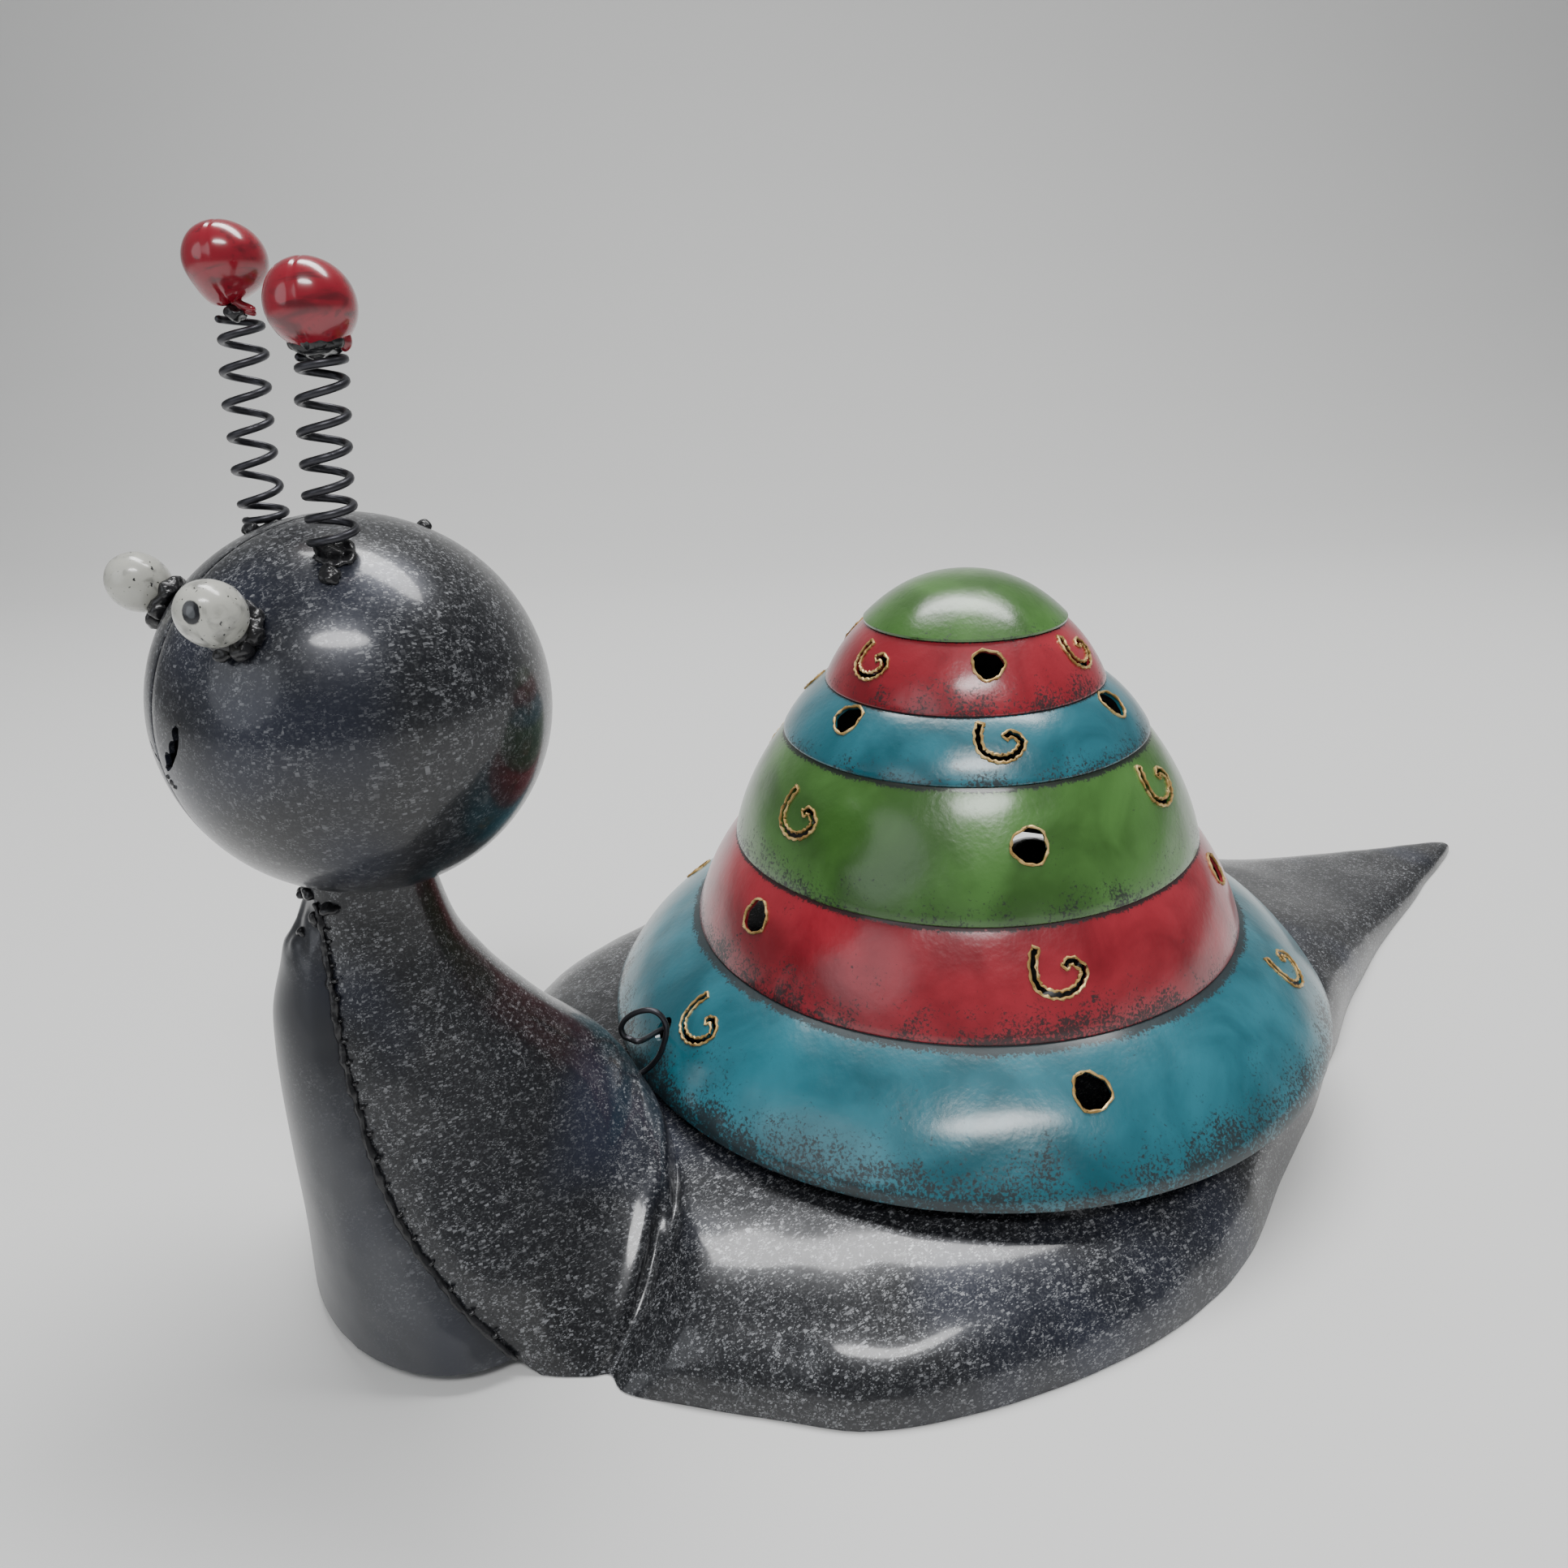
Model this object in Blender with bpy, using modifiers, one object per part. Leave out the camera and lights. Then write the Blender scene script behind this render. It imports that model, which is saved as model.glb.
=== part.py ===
"""Garden snail lantern: a pressed sheet steel snail whose tiered shell tilts up over a tealight cup.

Frame: metres, +Z up, the snail faces -Y and its left side is +X. The origin is on the floor, under
the middle of the object. Sizes below are in millimetres and turned into metres by place().
"""
import math

import bmesh
import bpy
from mathutils import Matrix, Vector

MM = 0.001

# Driving dimensions (millimetres)
SHEET = 0.6                 # thickness of every pressed sheet
WIRE_RADIUS = 0.43          # antenna springs and hinge ring
GAP = 0.3                   # clearance between pieces that touch
SHELL_AXIS_Y = -16.8        # the shell's axis, along Y from the middle of the object

SHELL_RIM_HEIGHT = 16.2
SHELL_LIP = 0.8             # how far each band stands over the groove below it
# Each band: upper radius, upper height, lower radius, lower height, bulge (heights above the rim)
SHELL_BANDS = (
    (15.0, 63.4, 21.4, 54.1, 0.7),
    (21.4, 54.1, 28.4, 46.3, 0.7),
    (28.4, 46.3, 37.1, 29.1, 1.2),
    (37.1, 29.1, 44.3, 14.9, 0.9),
    (44.3, 14.9, 60.0, 0.0, 1.9),
)
CAP_RISE = 6.9
# Hand-placed piercings, one column per row and one band per pair: degrees round from the snail's
# left side, and share of the way down the band. Hooks and holes take turns along and across.
PIERCED_COLUMNS = (
    ((-84.0, 0.45), (-82.0, 0.32), (-83.0, 0.45), (-86.0, 0.40), (-85.0, 0.40)),
    ((-27.0, 0.37), (-26.0, 0.42), (-22.0, 0.50), (-19.0, 0.43), (-18.0, 0.35)),
    ((27.0, 0.42), (28.0, 0.30), (25.0, 0.30), (40.0, 0.35), (38.0, 0.40)),
    ((92.0, 0.42), (95.0, 0.38), (93.0, 0.40), (97.0, 0.42), (96.0, 0.38)),
    ((151.0, 0.40), (149.0, 0.42), (157.0, 0.45), (155.0, 0.38), (158.0, 0.42)),
    ((-146.0, 0.42), (-143.0, 0.36), (-144.0, 0.38), (-147.0, 0.42), (-145.0, 0.40)),
)

HEAD_CENTRE = (0.0, 90.2, 82.7)     # side, forward of the shell's axis, height
HEAD_RADIUS = 22.4
HEAD_TWIST = 13.3                   # the head looks this many degrees to the snail's left
EYE_RADIUS = 3.55
EYE_DISTANCE = 26.6
EYE_ANGLE = 36.0                    # to each side of the seam, and up
NECK_FORWARD = 92.5
NECK_RADIUS = 7.6

BALL_RADIUS = 4.4
BALL_WALL = 0.4
SPRING_RADIUS = 2.3                 # to the middle of the wire
SPRING_TURNS = 7
NUB_RADIUS = 0.8

CUP_RADIUS = 21.0
CUP_DEPTH = 6.0
CUP_FLOOR_HEIGHT = 15.9

HINGE_HOLE = (-1.6, 55.8, 23.0)     # where the ring's bar crosses the shell's front wall
RING_HOLE_RADIUS = 1.2
RING_HOLE = (2.2, 62.0, 19.3)       # where the ring's end enters the shoulder
RING_CENTRE = (3.1, 60.2, 25.5)
RING_TURN = 40.0                    # degrees that the ring is turned out of the middle plane
RING_BENDS = (                      # in the ring's own plane: towards the shell, up
    (-0.8, -0.2), (-2.3, -0.1), (-3.4, 0.5), (-3.7, 1.8), (-3.0, 3.2), (-1.6, 4.4), (0.0, 5.1),
    (1.4, 5.2), (2.5, 4.6), (3.2, 3.3), (3.3, 1.8), (2.9, 0.2), (2.1, -2.0), (0.9, -3.9), (-0.4, -5.3),
)

# Half sections of the skin where it meets the chest plate, from the neck down. Each row: ridge
# forward and height, edge side, forward and height, reach of the ridge handle, edge handle.
NECK_STATIONS = (
    (85.6, 64.5, 3.2, 99.7, 64.5, 7.6, (6.5, -4.0, 0.0)),
    (84.9, 58.5, 4.1, 100.0, 59.5, 7.8, (6.5, -4.0, 0.0)),
    (83.3, 52.0, 5.9, 100.2, 53.0, 8.4, (6.4, -4.8, 0.0)),
    (80.7, 47.0, 7.6, 100.7, 47.5, 9.0, (6.2, -5.8, 0.0)),
    (77.5, 42.0, 9.5, 101.0, 41.8, 9.8, (6.0, -7.0, 0.2)),
    (73.0, 36.0, 12.4, 100.6, 33.3, 11.0, (5.6, -8.6, 0.6)),
    (70.0, 32.8, 14.6, 100.4, 27.0, 12.2, (5.3, -9.8, 1.2)),
    (67.6, 30.2, 17.0, 99.2, 21.0, 13.4, (5.0, -10.4, 2.2)),
    (65.8, 28.0, 20.0, 96.8, 14.8, 14.6, (4.4, -10.2, 4.2)),
    (64.4, 26.0, 23.0, 94.0, 9.0, 15.6, (3.8, -8.6, 6.6)),
    (63.3, 24.0, 26.3, 89.8, 2.0, 16.4, (3.2, -6.2, 9.0)),
)
# Shoulder sections: the same row, with the whole ridge handle written out.
SHOULDER_STATIONS = (
    (62.5, 22.0, 30.0, 86.0, 0.0, (17.5, -0.8, 1.6), (1.6, -6.6, 7.6)),
    (61.9, 19.6, 31.8, 83.6, 0.0, (18.2, -1.4, 4.0), (-0.2, -8.4, 6.0)),
    (61.3, 16.8, 33.4, 81.4, 0.0, (19.0, -2.2, 7.0), (-3.4, -8.4, 4.4)),
    (60.5, 14.0, 36.4, 80.2, 0.0, (20.0, -2.4, 1.6), (-1.6, -6.2, 7.4)),
)
# Back, flanks and tail: ridge forward and height, hem side and forward.
BACK_STATIONS = (
    (57.5, 13.7, 41.1, 74.6),
    (51.5, 14.1, 48.4, 66.6),
    (44.5, 14.6, 56.2, 57.4),
    (36.0, 15.2, 60.7, 46.6),
    (26.0, 15.5, 63.9, 33.0),
    (14.0, 15.5, 65.2, 19.0),
    (2.0, 15.5, 64.2, 6.0),
    (-9.0, 15.4, 60.9, -5.0),
    (-20.0, 15.3, 55.6, -16.0),
    (-32.0, 15.1, 50.2, -28.5),
    (-44.0, 14.9, 44.4, -41.0),
    (-57.0, 13.9, 37.8, -54.0),
    (-70.0, 11.6, 31.0, -67.0),
    (-83.0, 9.0, 25.4, -80.0),
    (-95.0, 6.6, 20.0, -93.0),
    (-107.0, 4.9, 15.8, -105.0),
    (-118.0, 3.7, 11.9, -116.8),
    (-129.0, 2.9, 7.9, -128.3),
    (-137.5, 2.3, 4.8, -137.2),
    (-143.0, 1.8, 2.7, -142.8),
    (-146.0, 1.3, 1.4, -145.8),
)
FLOOR_TRIM = 1.0                    # the skin is made this much too deep, then cut level

# Chest plate rows: height, forward at the middle, edge side and forward.
CHEST_ROWS = (
    (64.5, 99.6, 3.1, 99.5),
    (60.4, 100.3, 3.9, 100.0),
    (57.0, 102.2, 4.8, 99.9),
    (54.2, 104.3, 5.6, 100.1),
    (51.0, 105.4, 6.7, 100.4),
    (46.0, 107.1, 8.2, 100.8),
    (41.0, 107.9, 9.8, 101.0),
    (35.5, 108.4, 11.7, 100.7),
    (29.0, 108.7, 14.0, 100.4),
    (22.0, 109.0, 16.6, 99.4),
    (15.4, 109.3, 19.6, 97.1),
    (8.8, 109.7, 23.0, 94.0),
    (2.6, 110.2, 26.2, 90.1),
)
SEAM_GAP = 0.5                      # each sheet stops this far short of the seam line
SEAM_BEAD_RADIUS = 0.6


def place(side, forward, height):
    """Return the point in metres, from millimetres measured about the shell's axis."""
    return Vector((side, SHELL_AXIS_Y - forward, height)) * MM


def clear_scene():
    """Remove every object, mesh, curve and material of the start-up scene."""
    for item in list(bpy.data.objects):
        bpy.data.objects.remove(item, do_unlink=True)
    for store in (bpy.data.meshes, bpy.data.curves, bpy.data.materials, bpy.data.collections):
        for item in list(store):
            store.remove(item)


def collection(name):
    """Add a collection to the scene."""
    group = bpy.data.collections.new(name)
    bpy.context.scene.collection.children.link(group)
    return group


def material(name, colour, roughness, metallic):
    """Make a Principled material."""
    made = bpy.data.materials.new(name)
    made.use_nodes = True
    shader = made.node_tree.nodes["Principled BSDF"]
    shader.inputs["Base Color"].default_value = (*colour, 1.0)
    shader.inputs["Roughness"].default_value = roughness
    shader.inputs["Metallic"].default_value = metallic
    return made


def mesh_object(name, shape, group, finish=None):
    """Turn a bmesh into a named object."""
    mesh = bpy.data.meshes.new(name)
    shape.to_mesh(mesh)
    shape.free()
    made = bpy.data.objects.new(name, mesh)
    group.objects.link(made)
    if finish:
        mesh.materials.append(finish)
    return made


def smooth(made, angle=40.0):
    """Shade a piece smooth, with its real edges kept sharp."""
    made.data.shade_smooth()
    made.data.set_sharp_from_angle(angle=math.radians(angle))
    return made


def solidify(made, thickness=SHEET):
    """Give an open surface its sheet thickness, on the inside."""
    wall = made.modifiers.new("sheet", "SOLIDIFY")
    wall.thickness = thickness * MM
    wall.offset = -1.0
    wall.use_even_offset = True


def mirror(made):
    """Mirror a half piece across the snail's middle plane."""
    half = made.modifiers.new("other_side", "MIRROR")
    half.use_axis = (True, False, False)
    half.use_clip = True
    half.merge_threshold = 0.00005


def cut(made, cutter):
    """Take the cutter's volume away from a piece."""
    hole = made.modifiers.new("cut_" + cutter.name, "BOOLEAN")
    hole.operation = "DIFFERENCE"
    hole.solver = "EXACT"
    hole.object = cutter


def as_cutter(made):
    """Mark an object as a cutter, not a piece."""
    made.hide_render = True
    made.display_type = "WIRE"
    return made


def bezier(points, share):
    """Return the point at a share of the way along a cubic curve."""
    a, b, c, d = points
    back = 1.0 - share
    return a * back ** 3 + b * (3 * back ** 2 * share) + c * (3 * back * share ** 2) + d * share ** 3


def curve_row(points, count, end_gap=0.0):
    """Sample a cubic curve, stopping a little short of its end."""
    length = sum((points[i + 1] - points[i]).length for i in range(3)) / MM
    end = 1.0 - end_gap / length
    return [bezier(points, end * i / count) for i in range(count + 1)]


def loft(rows, name, group, finish):
    """Join rows of points into one open surface."""
    shape = bmesh.new()
    grid = [[shape.verts.new(point) for point in row] for row in rows]
    for upper, lower in zip(grid, grid[1:]):
        for i in range(len(upper) - 1):
            shape.faces.new((upper[i], lower[i], lower[i + 1], upper[i + 1]))
    bmesh.ops.recalc_face_normals(shape, faces=shape.faces)
    return mesh_object(name, shape, group, finish)


def wire(name, points, radius, group, finish, closed=False):
    """Sweep a round wire along points and leave it as a welded mesh."""
    data = bpy.data.curves.new(name, "CURVE")
    data.dimensions = "3D"
    data.bevel_depth = radius * MM
    data.bevel_resolution = 2
    data.use_fill_caps = not closed
    line = data.splines.new("POLY")
    line.points.add(len(points) - 1)
    line.use_cyclic_u = closed
    for knot, point in zip(line.points, points):
        knot.co = (*point, 1.0)
    swept = bpy.data.objects.new(name + "_curve", data)
    group.objects.link(swept)
    bpy.context.view_layer.update()
    graph = bpy.context.evaluated_depsgraph_get()
    mesh = bpy.data.meshes.new_from_object(swept.evaluated_get(graph))
    bpy.data.objects.remove(swept, do_unlink=True)
    shape = bmesh.new()
    shape.from_mesh(mesh)
    bmesh.ops.remove_doubles(shape, verts=shape.verts, dist=0.00001)
    bmesh.ops.recalc_face_normals(shape, faces=shape.faces)
    bpy.data.meshes.remove(mesh)
    made = mesh_object(name, shape, group, finish)
    return smooth(made)


def turned(name, profile, group, finish, closed=True, steps=48, degrees=360.0):
    """Turn a profile of (radius, height) points about the object's own Z axis."""
    shape = bmesh.new()
    verts = [shape.verts.new(Vector((radius, 0.0, height)) * MM) for radius, height in profile]
    for a, b in zip(verts, verts[1:]):
        shape.edges.new((a, b))
    if closed:
        shape.edges.new((verts[-1], verts[0]))
    made = mesh_object(name, shape, group, finish)
    spin = made.modifiers.new("turn", "SCREW")
    spin.angle = math.radians(degrees)
    spin.steps = steps
    spin.render_steps = steps
    spin.use_merge_vertices = True
    spin.merge_threshold = 0.00001
    return made


def head_point(azimuth, elevation, distance):
    """Return a point about the head's centre; azimuth is from the seam towards the left side."""
    turn = math.radians(azimuth + HEAD_TWIST)
    lift = math.radians(elevation)
    side = distance * math.cos(lift) * math.sin(turn)
    forward = distance * math.cos(lift) * math.cos(turn)
    return place(HEAD_CENTRE[0] + side, HEAD_CENTRE[1] + forward, HEAD_CENTRE[2] + distance * math.sin(lift))


def facing(origin, normal):
    """Return a frame at a surface point: X to the viewer's right, Y up the surface, Z outwards."""
    out = normal.normalized()
    right = Vector((0.0, 0.0, 1.0)).cross(out).normalized()
    rise = out.cross(right)
    turn = Matrix((right, rise, out)).transposed().to_4x4()
    return Matrix.Translation(origin) @ turn


# ---------------------------------------------------------------- body skin and chest plate

def skin_rows():
    """Return the skin's half sections, from the neck's top to the tip of the tail."""
    count = 8
    rows = []
    for ridge_f, ridge_h, side, forward, height, reach, handle in NECK_STATIONS:
        start = place(0.0, ridge_f, ridge_h)
        end = place(side, forward, height)
        first = place(reach, ridge_f, ridge_h)
        last = place(side + handle[0], forward + handle[1], height + handle[2])
        rows.append(curve_row((start, first, last, end), count, SEAM_GAP))
    for ridge_f, ridge_h, side, forward, height, reach, handle in SHOULDER_STATIONS:
        start = place(0.0, ridge_f, ridge_h)
        end = place(side, forward, height - FLOOR_TRIM)
        first = place(reach[0], ridge_f + reach[1], ridge_h + reach[2])
        last = place(side + handle[0], forward + handle[1], height + handle[2])
        rows.append(curve_row((start, first, last, end), count))
    for ridge_f, ridge_h, side, forward in BACK_STATIONS:
        start = place(0.0, ridge_f, ridge_h)
        end = place(side, forward, -FLOOR_TRIM)
        first = place(0.76 * side, ridge_f + 0.25 * (forward - ridge_f), ridge_h)
        last = place(0.985 * side, ridge_f + 0.97 * (forward - ridge_f), 0.86 * ridge_h)
        rows.append(curve_row((start, first, last, end), count))
    return rows


def block(name, low, high, group):
    """Make a box cutter between two corners."""
    shape = bmesh.new()
    bmesh.ops.create_cube(shape, size=1.0)
    size = high - low
    bmesh.ops.scale(shape, vec=[abs(value) for value in size], verts=shape.verts)
    bmesh.ops.translate(shape, vec=(low + high) / 2, verts=shape.verts)
    return as_cutter(mesh_object(name, shape, group))


def round_cutter(name, centre, reach, group):
    """Make a round cutter that lies along Y, for the ring's wire."""
    shape = bmesh.new()
    size = RING_HOLE_RADIUS * MM
    bmesh.ops.create_cone(shape, cap_ends=True, segments=12, radius1=size, radius2=size, depth=2.0 * reach * MM)
    bmesh.ops.rotate(shape, matrix=Matrix.Rotation(math.pi / 2, 3, "X"), verts=shape.verts)
    bmesh.ops.translate(shape, vec=place(*centre), verts=shape.verts)
    return as_cutter(mesh_object(name, shape, group))


def head_cutter(group):
    """Make the ball that trims the neck's top to the head's shape."""
    shape = bmesh.new()
    bmesh.ops.create_uvsphere(shape, u_segments=64, v_segments=32, radius=(HEAD_RADIUS + GAP + 0.1) * MM)
    bmesh.ops.translate(shape, vec=place(*HEAD_CENTRE), verts=shape.verts)
    return as_cutter(mesh_object("neck_trim", shape, group))


def make_body(group, cutters, paint, grey):
    """Make the body skin and the chest plate."""
    skin = smooth(loft(skin_rows(), "body_skin", group, paint), 60.0)
    mirror(skin)
    solidify(skin)
    neck_trim = head_cutter(cutters)
    floor = block("floor_trim", Vector((-0.1, -0.15, -0.02)), Vector((0.1, 0.15, 0.0)), cutters)
    shoulder_hole = round_cutter("shoulder_hole", RING_HOLE, 2.0, cutters)
    for cutter in (neck_trim, floor, shoulder_hole):
        cut(skin, cutter)

    rows = []
    for height, front, side, forward in CHEST_ROWS:
        start = place(0.0, front, height)
        first = place(0.55 * side, front, height)
        last = place(1.04 * side, forward + 0.55 * (front - forward), height)
        end = place(side, forward, height)
        rows.append(curve_row((start, first, last, end), 5, SEAM_GAP))
    chest = smooth(loft(rows, "chest_plate", group, grey), 60.0)
    mirror(chest)
    solidify(chest)
    cut(chest, neck_trim)


def make_seam_welds(group, finish):
    """Make the two weld beads that join the chest plate to the skin."""
    outward = 0.9
    for name, hand in (("seam_weld_left", 1.0), ("seam_weld_right", -1.0)):
        points = []
        for height, front, side, forward in CHEST_ROWS[2:]:
            out = Vector((0.86, 0.5))
            points.append(place(hand * (side + outward * out.x), forward + outward * out.y, height))
        wire(name, points, SEAM_BEAD_RADIUS, group, finish)


def make_neck_weld(group, finish):
    """Make the bead that joins the head to the neck, run round inside the neck's top."""
    bead = 0.6
    reach = NECK_RADIUS - SHEET - bead - 0.6
    rise = HEAD_RADIUS + bead + GAP + 0.1
    points = []
    for i in range(20):
        turn = 2.0 * math.pi * i / 20
        side = reach * math.sin(turn)
        forward = NECK_FORWARD + reach * math.cos(turn)
        level = math.hypot(side, forward - HEAD_CENTRE[1])
        points.append(place(side, forward, HEAD_CENTRE[2] - math.sqrt(rise ** 2 - level ** 2)))
    wire("neck_weld", points, bead, group, finish, closed=True)


# ---------------------------------------------------------------- head and eyes

def half_round(name, profile, azimuth, group, finish, wall, steps):
    """Make one pressed half: a half turned open surface with its wall inside it."""
    made = turned(name, profile, group, finish, closed=False, steps=steps, degrees=180.0)
    solidify(made, wall)
    made.rotation_euler = (0.0, 0.0, azimuth)
    return smooth(made, 60.0)


def ball_profile(radius, count, pinch=0.0):
    """Return a half circle from the top pole down, drawn out to a point below by the pinch."""
    points = []
    for i in range(count + 1):
        turn = math.pi * i / count
        draw = pinch * max(0.0, -math.cos(turn)) ** 5
        points.append((radius * math.sin(turn), radius * math.cos(turn) - draw))
    points[0] = (0.0, points[0][1])
    points[-1] = (0.0, points[-1][1])
    return points


def stroke_prism(shape, path, width, depth, frame):
    """Add to a bmesh a prism along a stroked path, through the surface at the frame."""
    sides = ([], [])
    for i, point in enumerate(path):
        before = path[max(i - 1, 0)]
        after = path[min(i + 1, len(path) - 1)]
        along = (after - before).normalized()
        across = Vector((-along.y, along.x)) * width / 2
        sides[0].append(point + across)
        sides[1].append(point - across)
    outline = sides[0] + sides[1][::-1]
    prism(shape, outline, depth, frame)


def prism(shape, outline, depth, frame):
    """Add to a bmesh a prism of a flat outline, reaching a depth to each side of the frame."""
    rings = []
    for level in (-depth, depth):
        rings.append([shape.verts.new(frame @ (Vector((p.x, p.y, level)) * MM)) for p in outline])
    low, high = rings
    shape.faces.new(low[::-1])
    shape.faces.new(high)
    for i in range(len(outline)):
        j = (i + 1) % len(outline)
        shape.faces.new((low[i], low[j], high[j], high[i]))


def make_head(group, cutters, paint, weld, white):
    """Make the two head domes, the eyes and the weld collars they sit in."""
    centre = place(*HEAD_CENTRE)
    profile = ball_profile(HEAD_RADIUS, 16)
    facing_side = -math.pi / 2 + math.radians(HEAD_TWIST)

    shape = bmesh.new()
    origin = head_point(10.0, 3.0, HEAD_RADIUS)
    mouth_frame = facing(origin, origin - centre)
    mouth = [Vector(p) for p in ((2.6, 2.9), (2.2, 1.6), (1.2, 0.4), (-0.2, -0.4), (-1.6, -1.8))]
    stroke_prism(shape, mouth, 1.1, 3.0, mouth_frame)
    bmesh.ops.recalc_face_normals(shape, faces=shape.faces)
    mouth_cut = as_cutter(mesh_object("mouth_cut", shape, cutters))

    for name, start in (("head_left_dome", facing_side), ("head_right_dome", facing_side + math.pi)):
        dome = half_round(name, profile, start, group, paint, SHEET, 14)
        middle = start + math.pi / 2
        apart = Vector((math.cos(middle), math.sin(middle), 0.0)) * GAP / 2 * MM
        dome.location = centre + apart
        if name == "head_left_dome":
            cut(dome, mouth_cut)

    for name, hand in (("left", 1.0), ("right", -1.0)):
        position = head_point(hand * EYE_ANGLE, EYE_ANGLE + 1.0, EYE_DISTANCE)
        outward = facing(position, position - centre)
        eye_profile = [(p, 1.07 * h) for p, h in ball_profile(EYE_RADIUS, 9)]
        eye = turned("eye_" + name, eye_profile, group, white, closed=False, steps=14)
        eye.matrix_world = outward
        smooth(eye)
        collar = turned("eye_weld_" + name, eye_weld_profile(), group, weld, steps=14)
        collar.matrix_world = outward
        smooth(collar)


def eye_weld_profile():
    """Return the collar's section: between the head's surface and the eye's underside."""
    eye_side = []
    head_side = []
    for i in range(4):
        radius = 1.45 + 1.65 * i / 3
        under = -1.07 * math.sqrt((EYE_RADIUS + GAP) ** 2 - radius ** 2)
        surface = math.sqrt((HEAD_RADIUS + GAP + 0.05) ** 2 - radius ** 2) - EYE_DISTANCE
        eye_side.append((radius, min(under, surface + 1.4)))
        head_side.append((radius, surface))
    return eye_side + head_side[::-1]


# ---------------------------------------------------------------- antennae

class Antenna:
    """One antenna: the spring, its foot weld, its collar and the two halves of its ball."""

    def __init__(self, hand, foot, ball, pinch, nub):
        self.hand = hand
        self.foot = Vector(foot)
        self.ball = Vector(ball)
        self.pinch = pinch
        self.nub = nub

    def spring_points(self):
        """Return the spring's middle line, foot to ball; its lowest turns are pressed together."""
        start_turn = math.atan2(-0.879, -0.477)
        steps = 9
        easing = 3.0
        closed = 0.45
        full = SPRING_TURNS - easing * (1.0 - closed) / 2.0
        top = self.ball.z - BALL_RADIUS - self.pinch - 0.35
        rise = top - self.foot.z
        points = []
        for i in range(SPRING_TURNS * steps + 1):
            turns = i / steps
            eased = min(turns, easing)
            climb = closed * eased + (1.0 - closed) * eased ** 2 / (2.0 * easing) + turns - eased
            share = climb / full
            middle = self.foot.lerp(self.ball, share * rise / (self.ball.z - self.foot.z))
            turn = start_turn + 2.0 * math.pi * turns
            side = middle.x + SPRING_RADIUS * math.cos(turn)
            forward = middle.y - SPRING_RADIUS * math.sin(turn)
            points.append(place(side, forward, self.foot.z + rise * share))
        return points

    def make(self, group, black, weld, red):
        """Make this antenna's five pieces."""
        wire("antenna_spring_" + self.hand, self.spring_points(), WIRE_RADIUS, group, black)
        shape = bmesh.new()
        bmesh.ops.create_icosphere(shape, subdivisions=2, radius=NUB_RADIUS * MM)
        nub = head_point(*self.nub, HEAD_RADIUS + NUB_RADIUS + GAP)
        bmesh.ops.translate(shape, vec=nub, verts=shape.verts)
        smooth(mesh_object("antenna_foot_weld_" + self.hand, shape, group, weld))

        collar = turned("antenna_collar_" + self.hand, self.collar_profile(), group, weld, closed=False, steps=14)
        collar.location = place(*self.ball)
        smooth(collar)

        profile = ball_profile(BALL_RADIUS, 10, self.pinch)
        view_turn = math.atan2(-0.477, 0.879)
        for name, start in (("front", view_turn + math.pi), ("rear", view_turn)):
            half = half_round("antenna_ball_%s_%s" % (self.hand, name), profile, start, group, red, BALL_WALL, 8)
            middle = start + math.pi / 2
            apart = Vector((math.cos(middle), math.sin(middle), 0.0)) * (GAP / 2 + 0.02) * MM
            half.location = place(*self.ball) + apart

    def collar_profile(self):
        """Return the weld collar's section, about the ball's centre."""
        base = -BALL_RADIUS - self.pinch
        return [(0.0, base - 0.32), (1.2, base - 0.3), (1.35, base - 0.9), (1.1, base - 1.5), (0.0, base - 1.6)]


# ---------------------------------------------------------------- shell, ring and cup

def band_point(band, share):
    """Return (radius, height above the rim) and the outward slope at a share of a band."""
    top_r, top_h, low_r, low_h, bulge = band
    low_r = low_r + SHELL_LIP * 0.7
    low_h = low_h + SHELL_LIP * 0.2
    run = Vector((low_r - top_r, low_h - top_h))
    out = Vector((-run.y, run.x)).normalized()
    swell = 4.0 * bulge * share * (1.0 - share)
    slope = 4.0 * bulge * (1.0 - 2.0 * share) / run.length
    point = Vector((top_r, top_h)) + run * share + out * swell
    return point, (out - run.normalized() * slope).normalized()


def shell_profile():
    """Return the shell's closed wall section, outer side down and inner side back up."""
    outer = []
    cap_r, cap_h = SHELL_BANDS[0][0], SHELL_BANDS[0][1]
    for i in range(4):
        share = i / 3
        radius = (cap_r + SHELL_LIP) * share
        outer.append((radius, cap_h + CAP_RISE * (1.0 - share ** 2) + 0.1))
    for band in SHELL_BANDS:
        for i in range(4):
            point = band_point(band, i / 3)[0]
            outer.append((point.x, point.y))
    outer[-1] = (SHELL_BANDS[-1][2], 0.0)
    inner = [(SHELL_BANDS[-1][2] - SHEET - 0.1, 0.0)]
    for band in reversed(SHELL_BANDS):
        for share in (0.55, 0.12):
            point, slope = band_point(band, share)
            thick = SHEET + (0.35 if share < 0.5 else 0.1)
            inner.append((point.x - slope.x * thick, point.y - slope.y * thick))
    inner.append((cap_r * 0.55, cap_h + CAP_RISE * 0.7 - SHEET))
    inner.append((0.0, cap_h + CAP_RISE - SHEET))
    return [(radius, height + SHELL_RIM_HEIGHT) for radius, height in outer + inner]


def hook_path(size):
    """Return the open G of a pierced hook: a tail, a bowl and an end curled inwards."""
    points = [Vector((-3.1, 3.3)), Vector((-3.75, 1.5))]
    for i in range(6):
        turn = math.radians(200.0 + 32.0 * i)
        points.append(Vector((3.6 * math.cos(turn) - 0.1, 2.9 * math.sin(turn) - 0.2)))
    points.extend((Vector((1.8, 1.1)), Vector((0.8, 0.5))))
    return [point * size for point in points]


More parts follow.
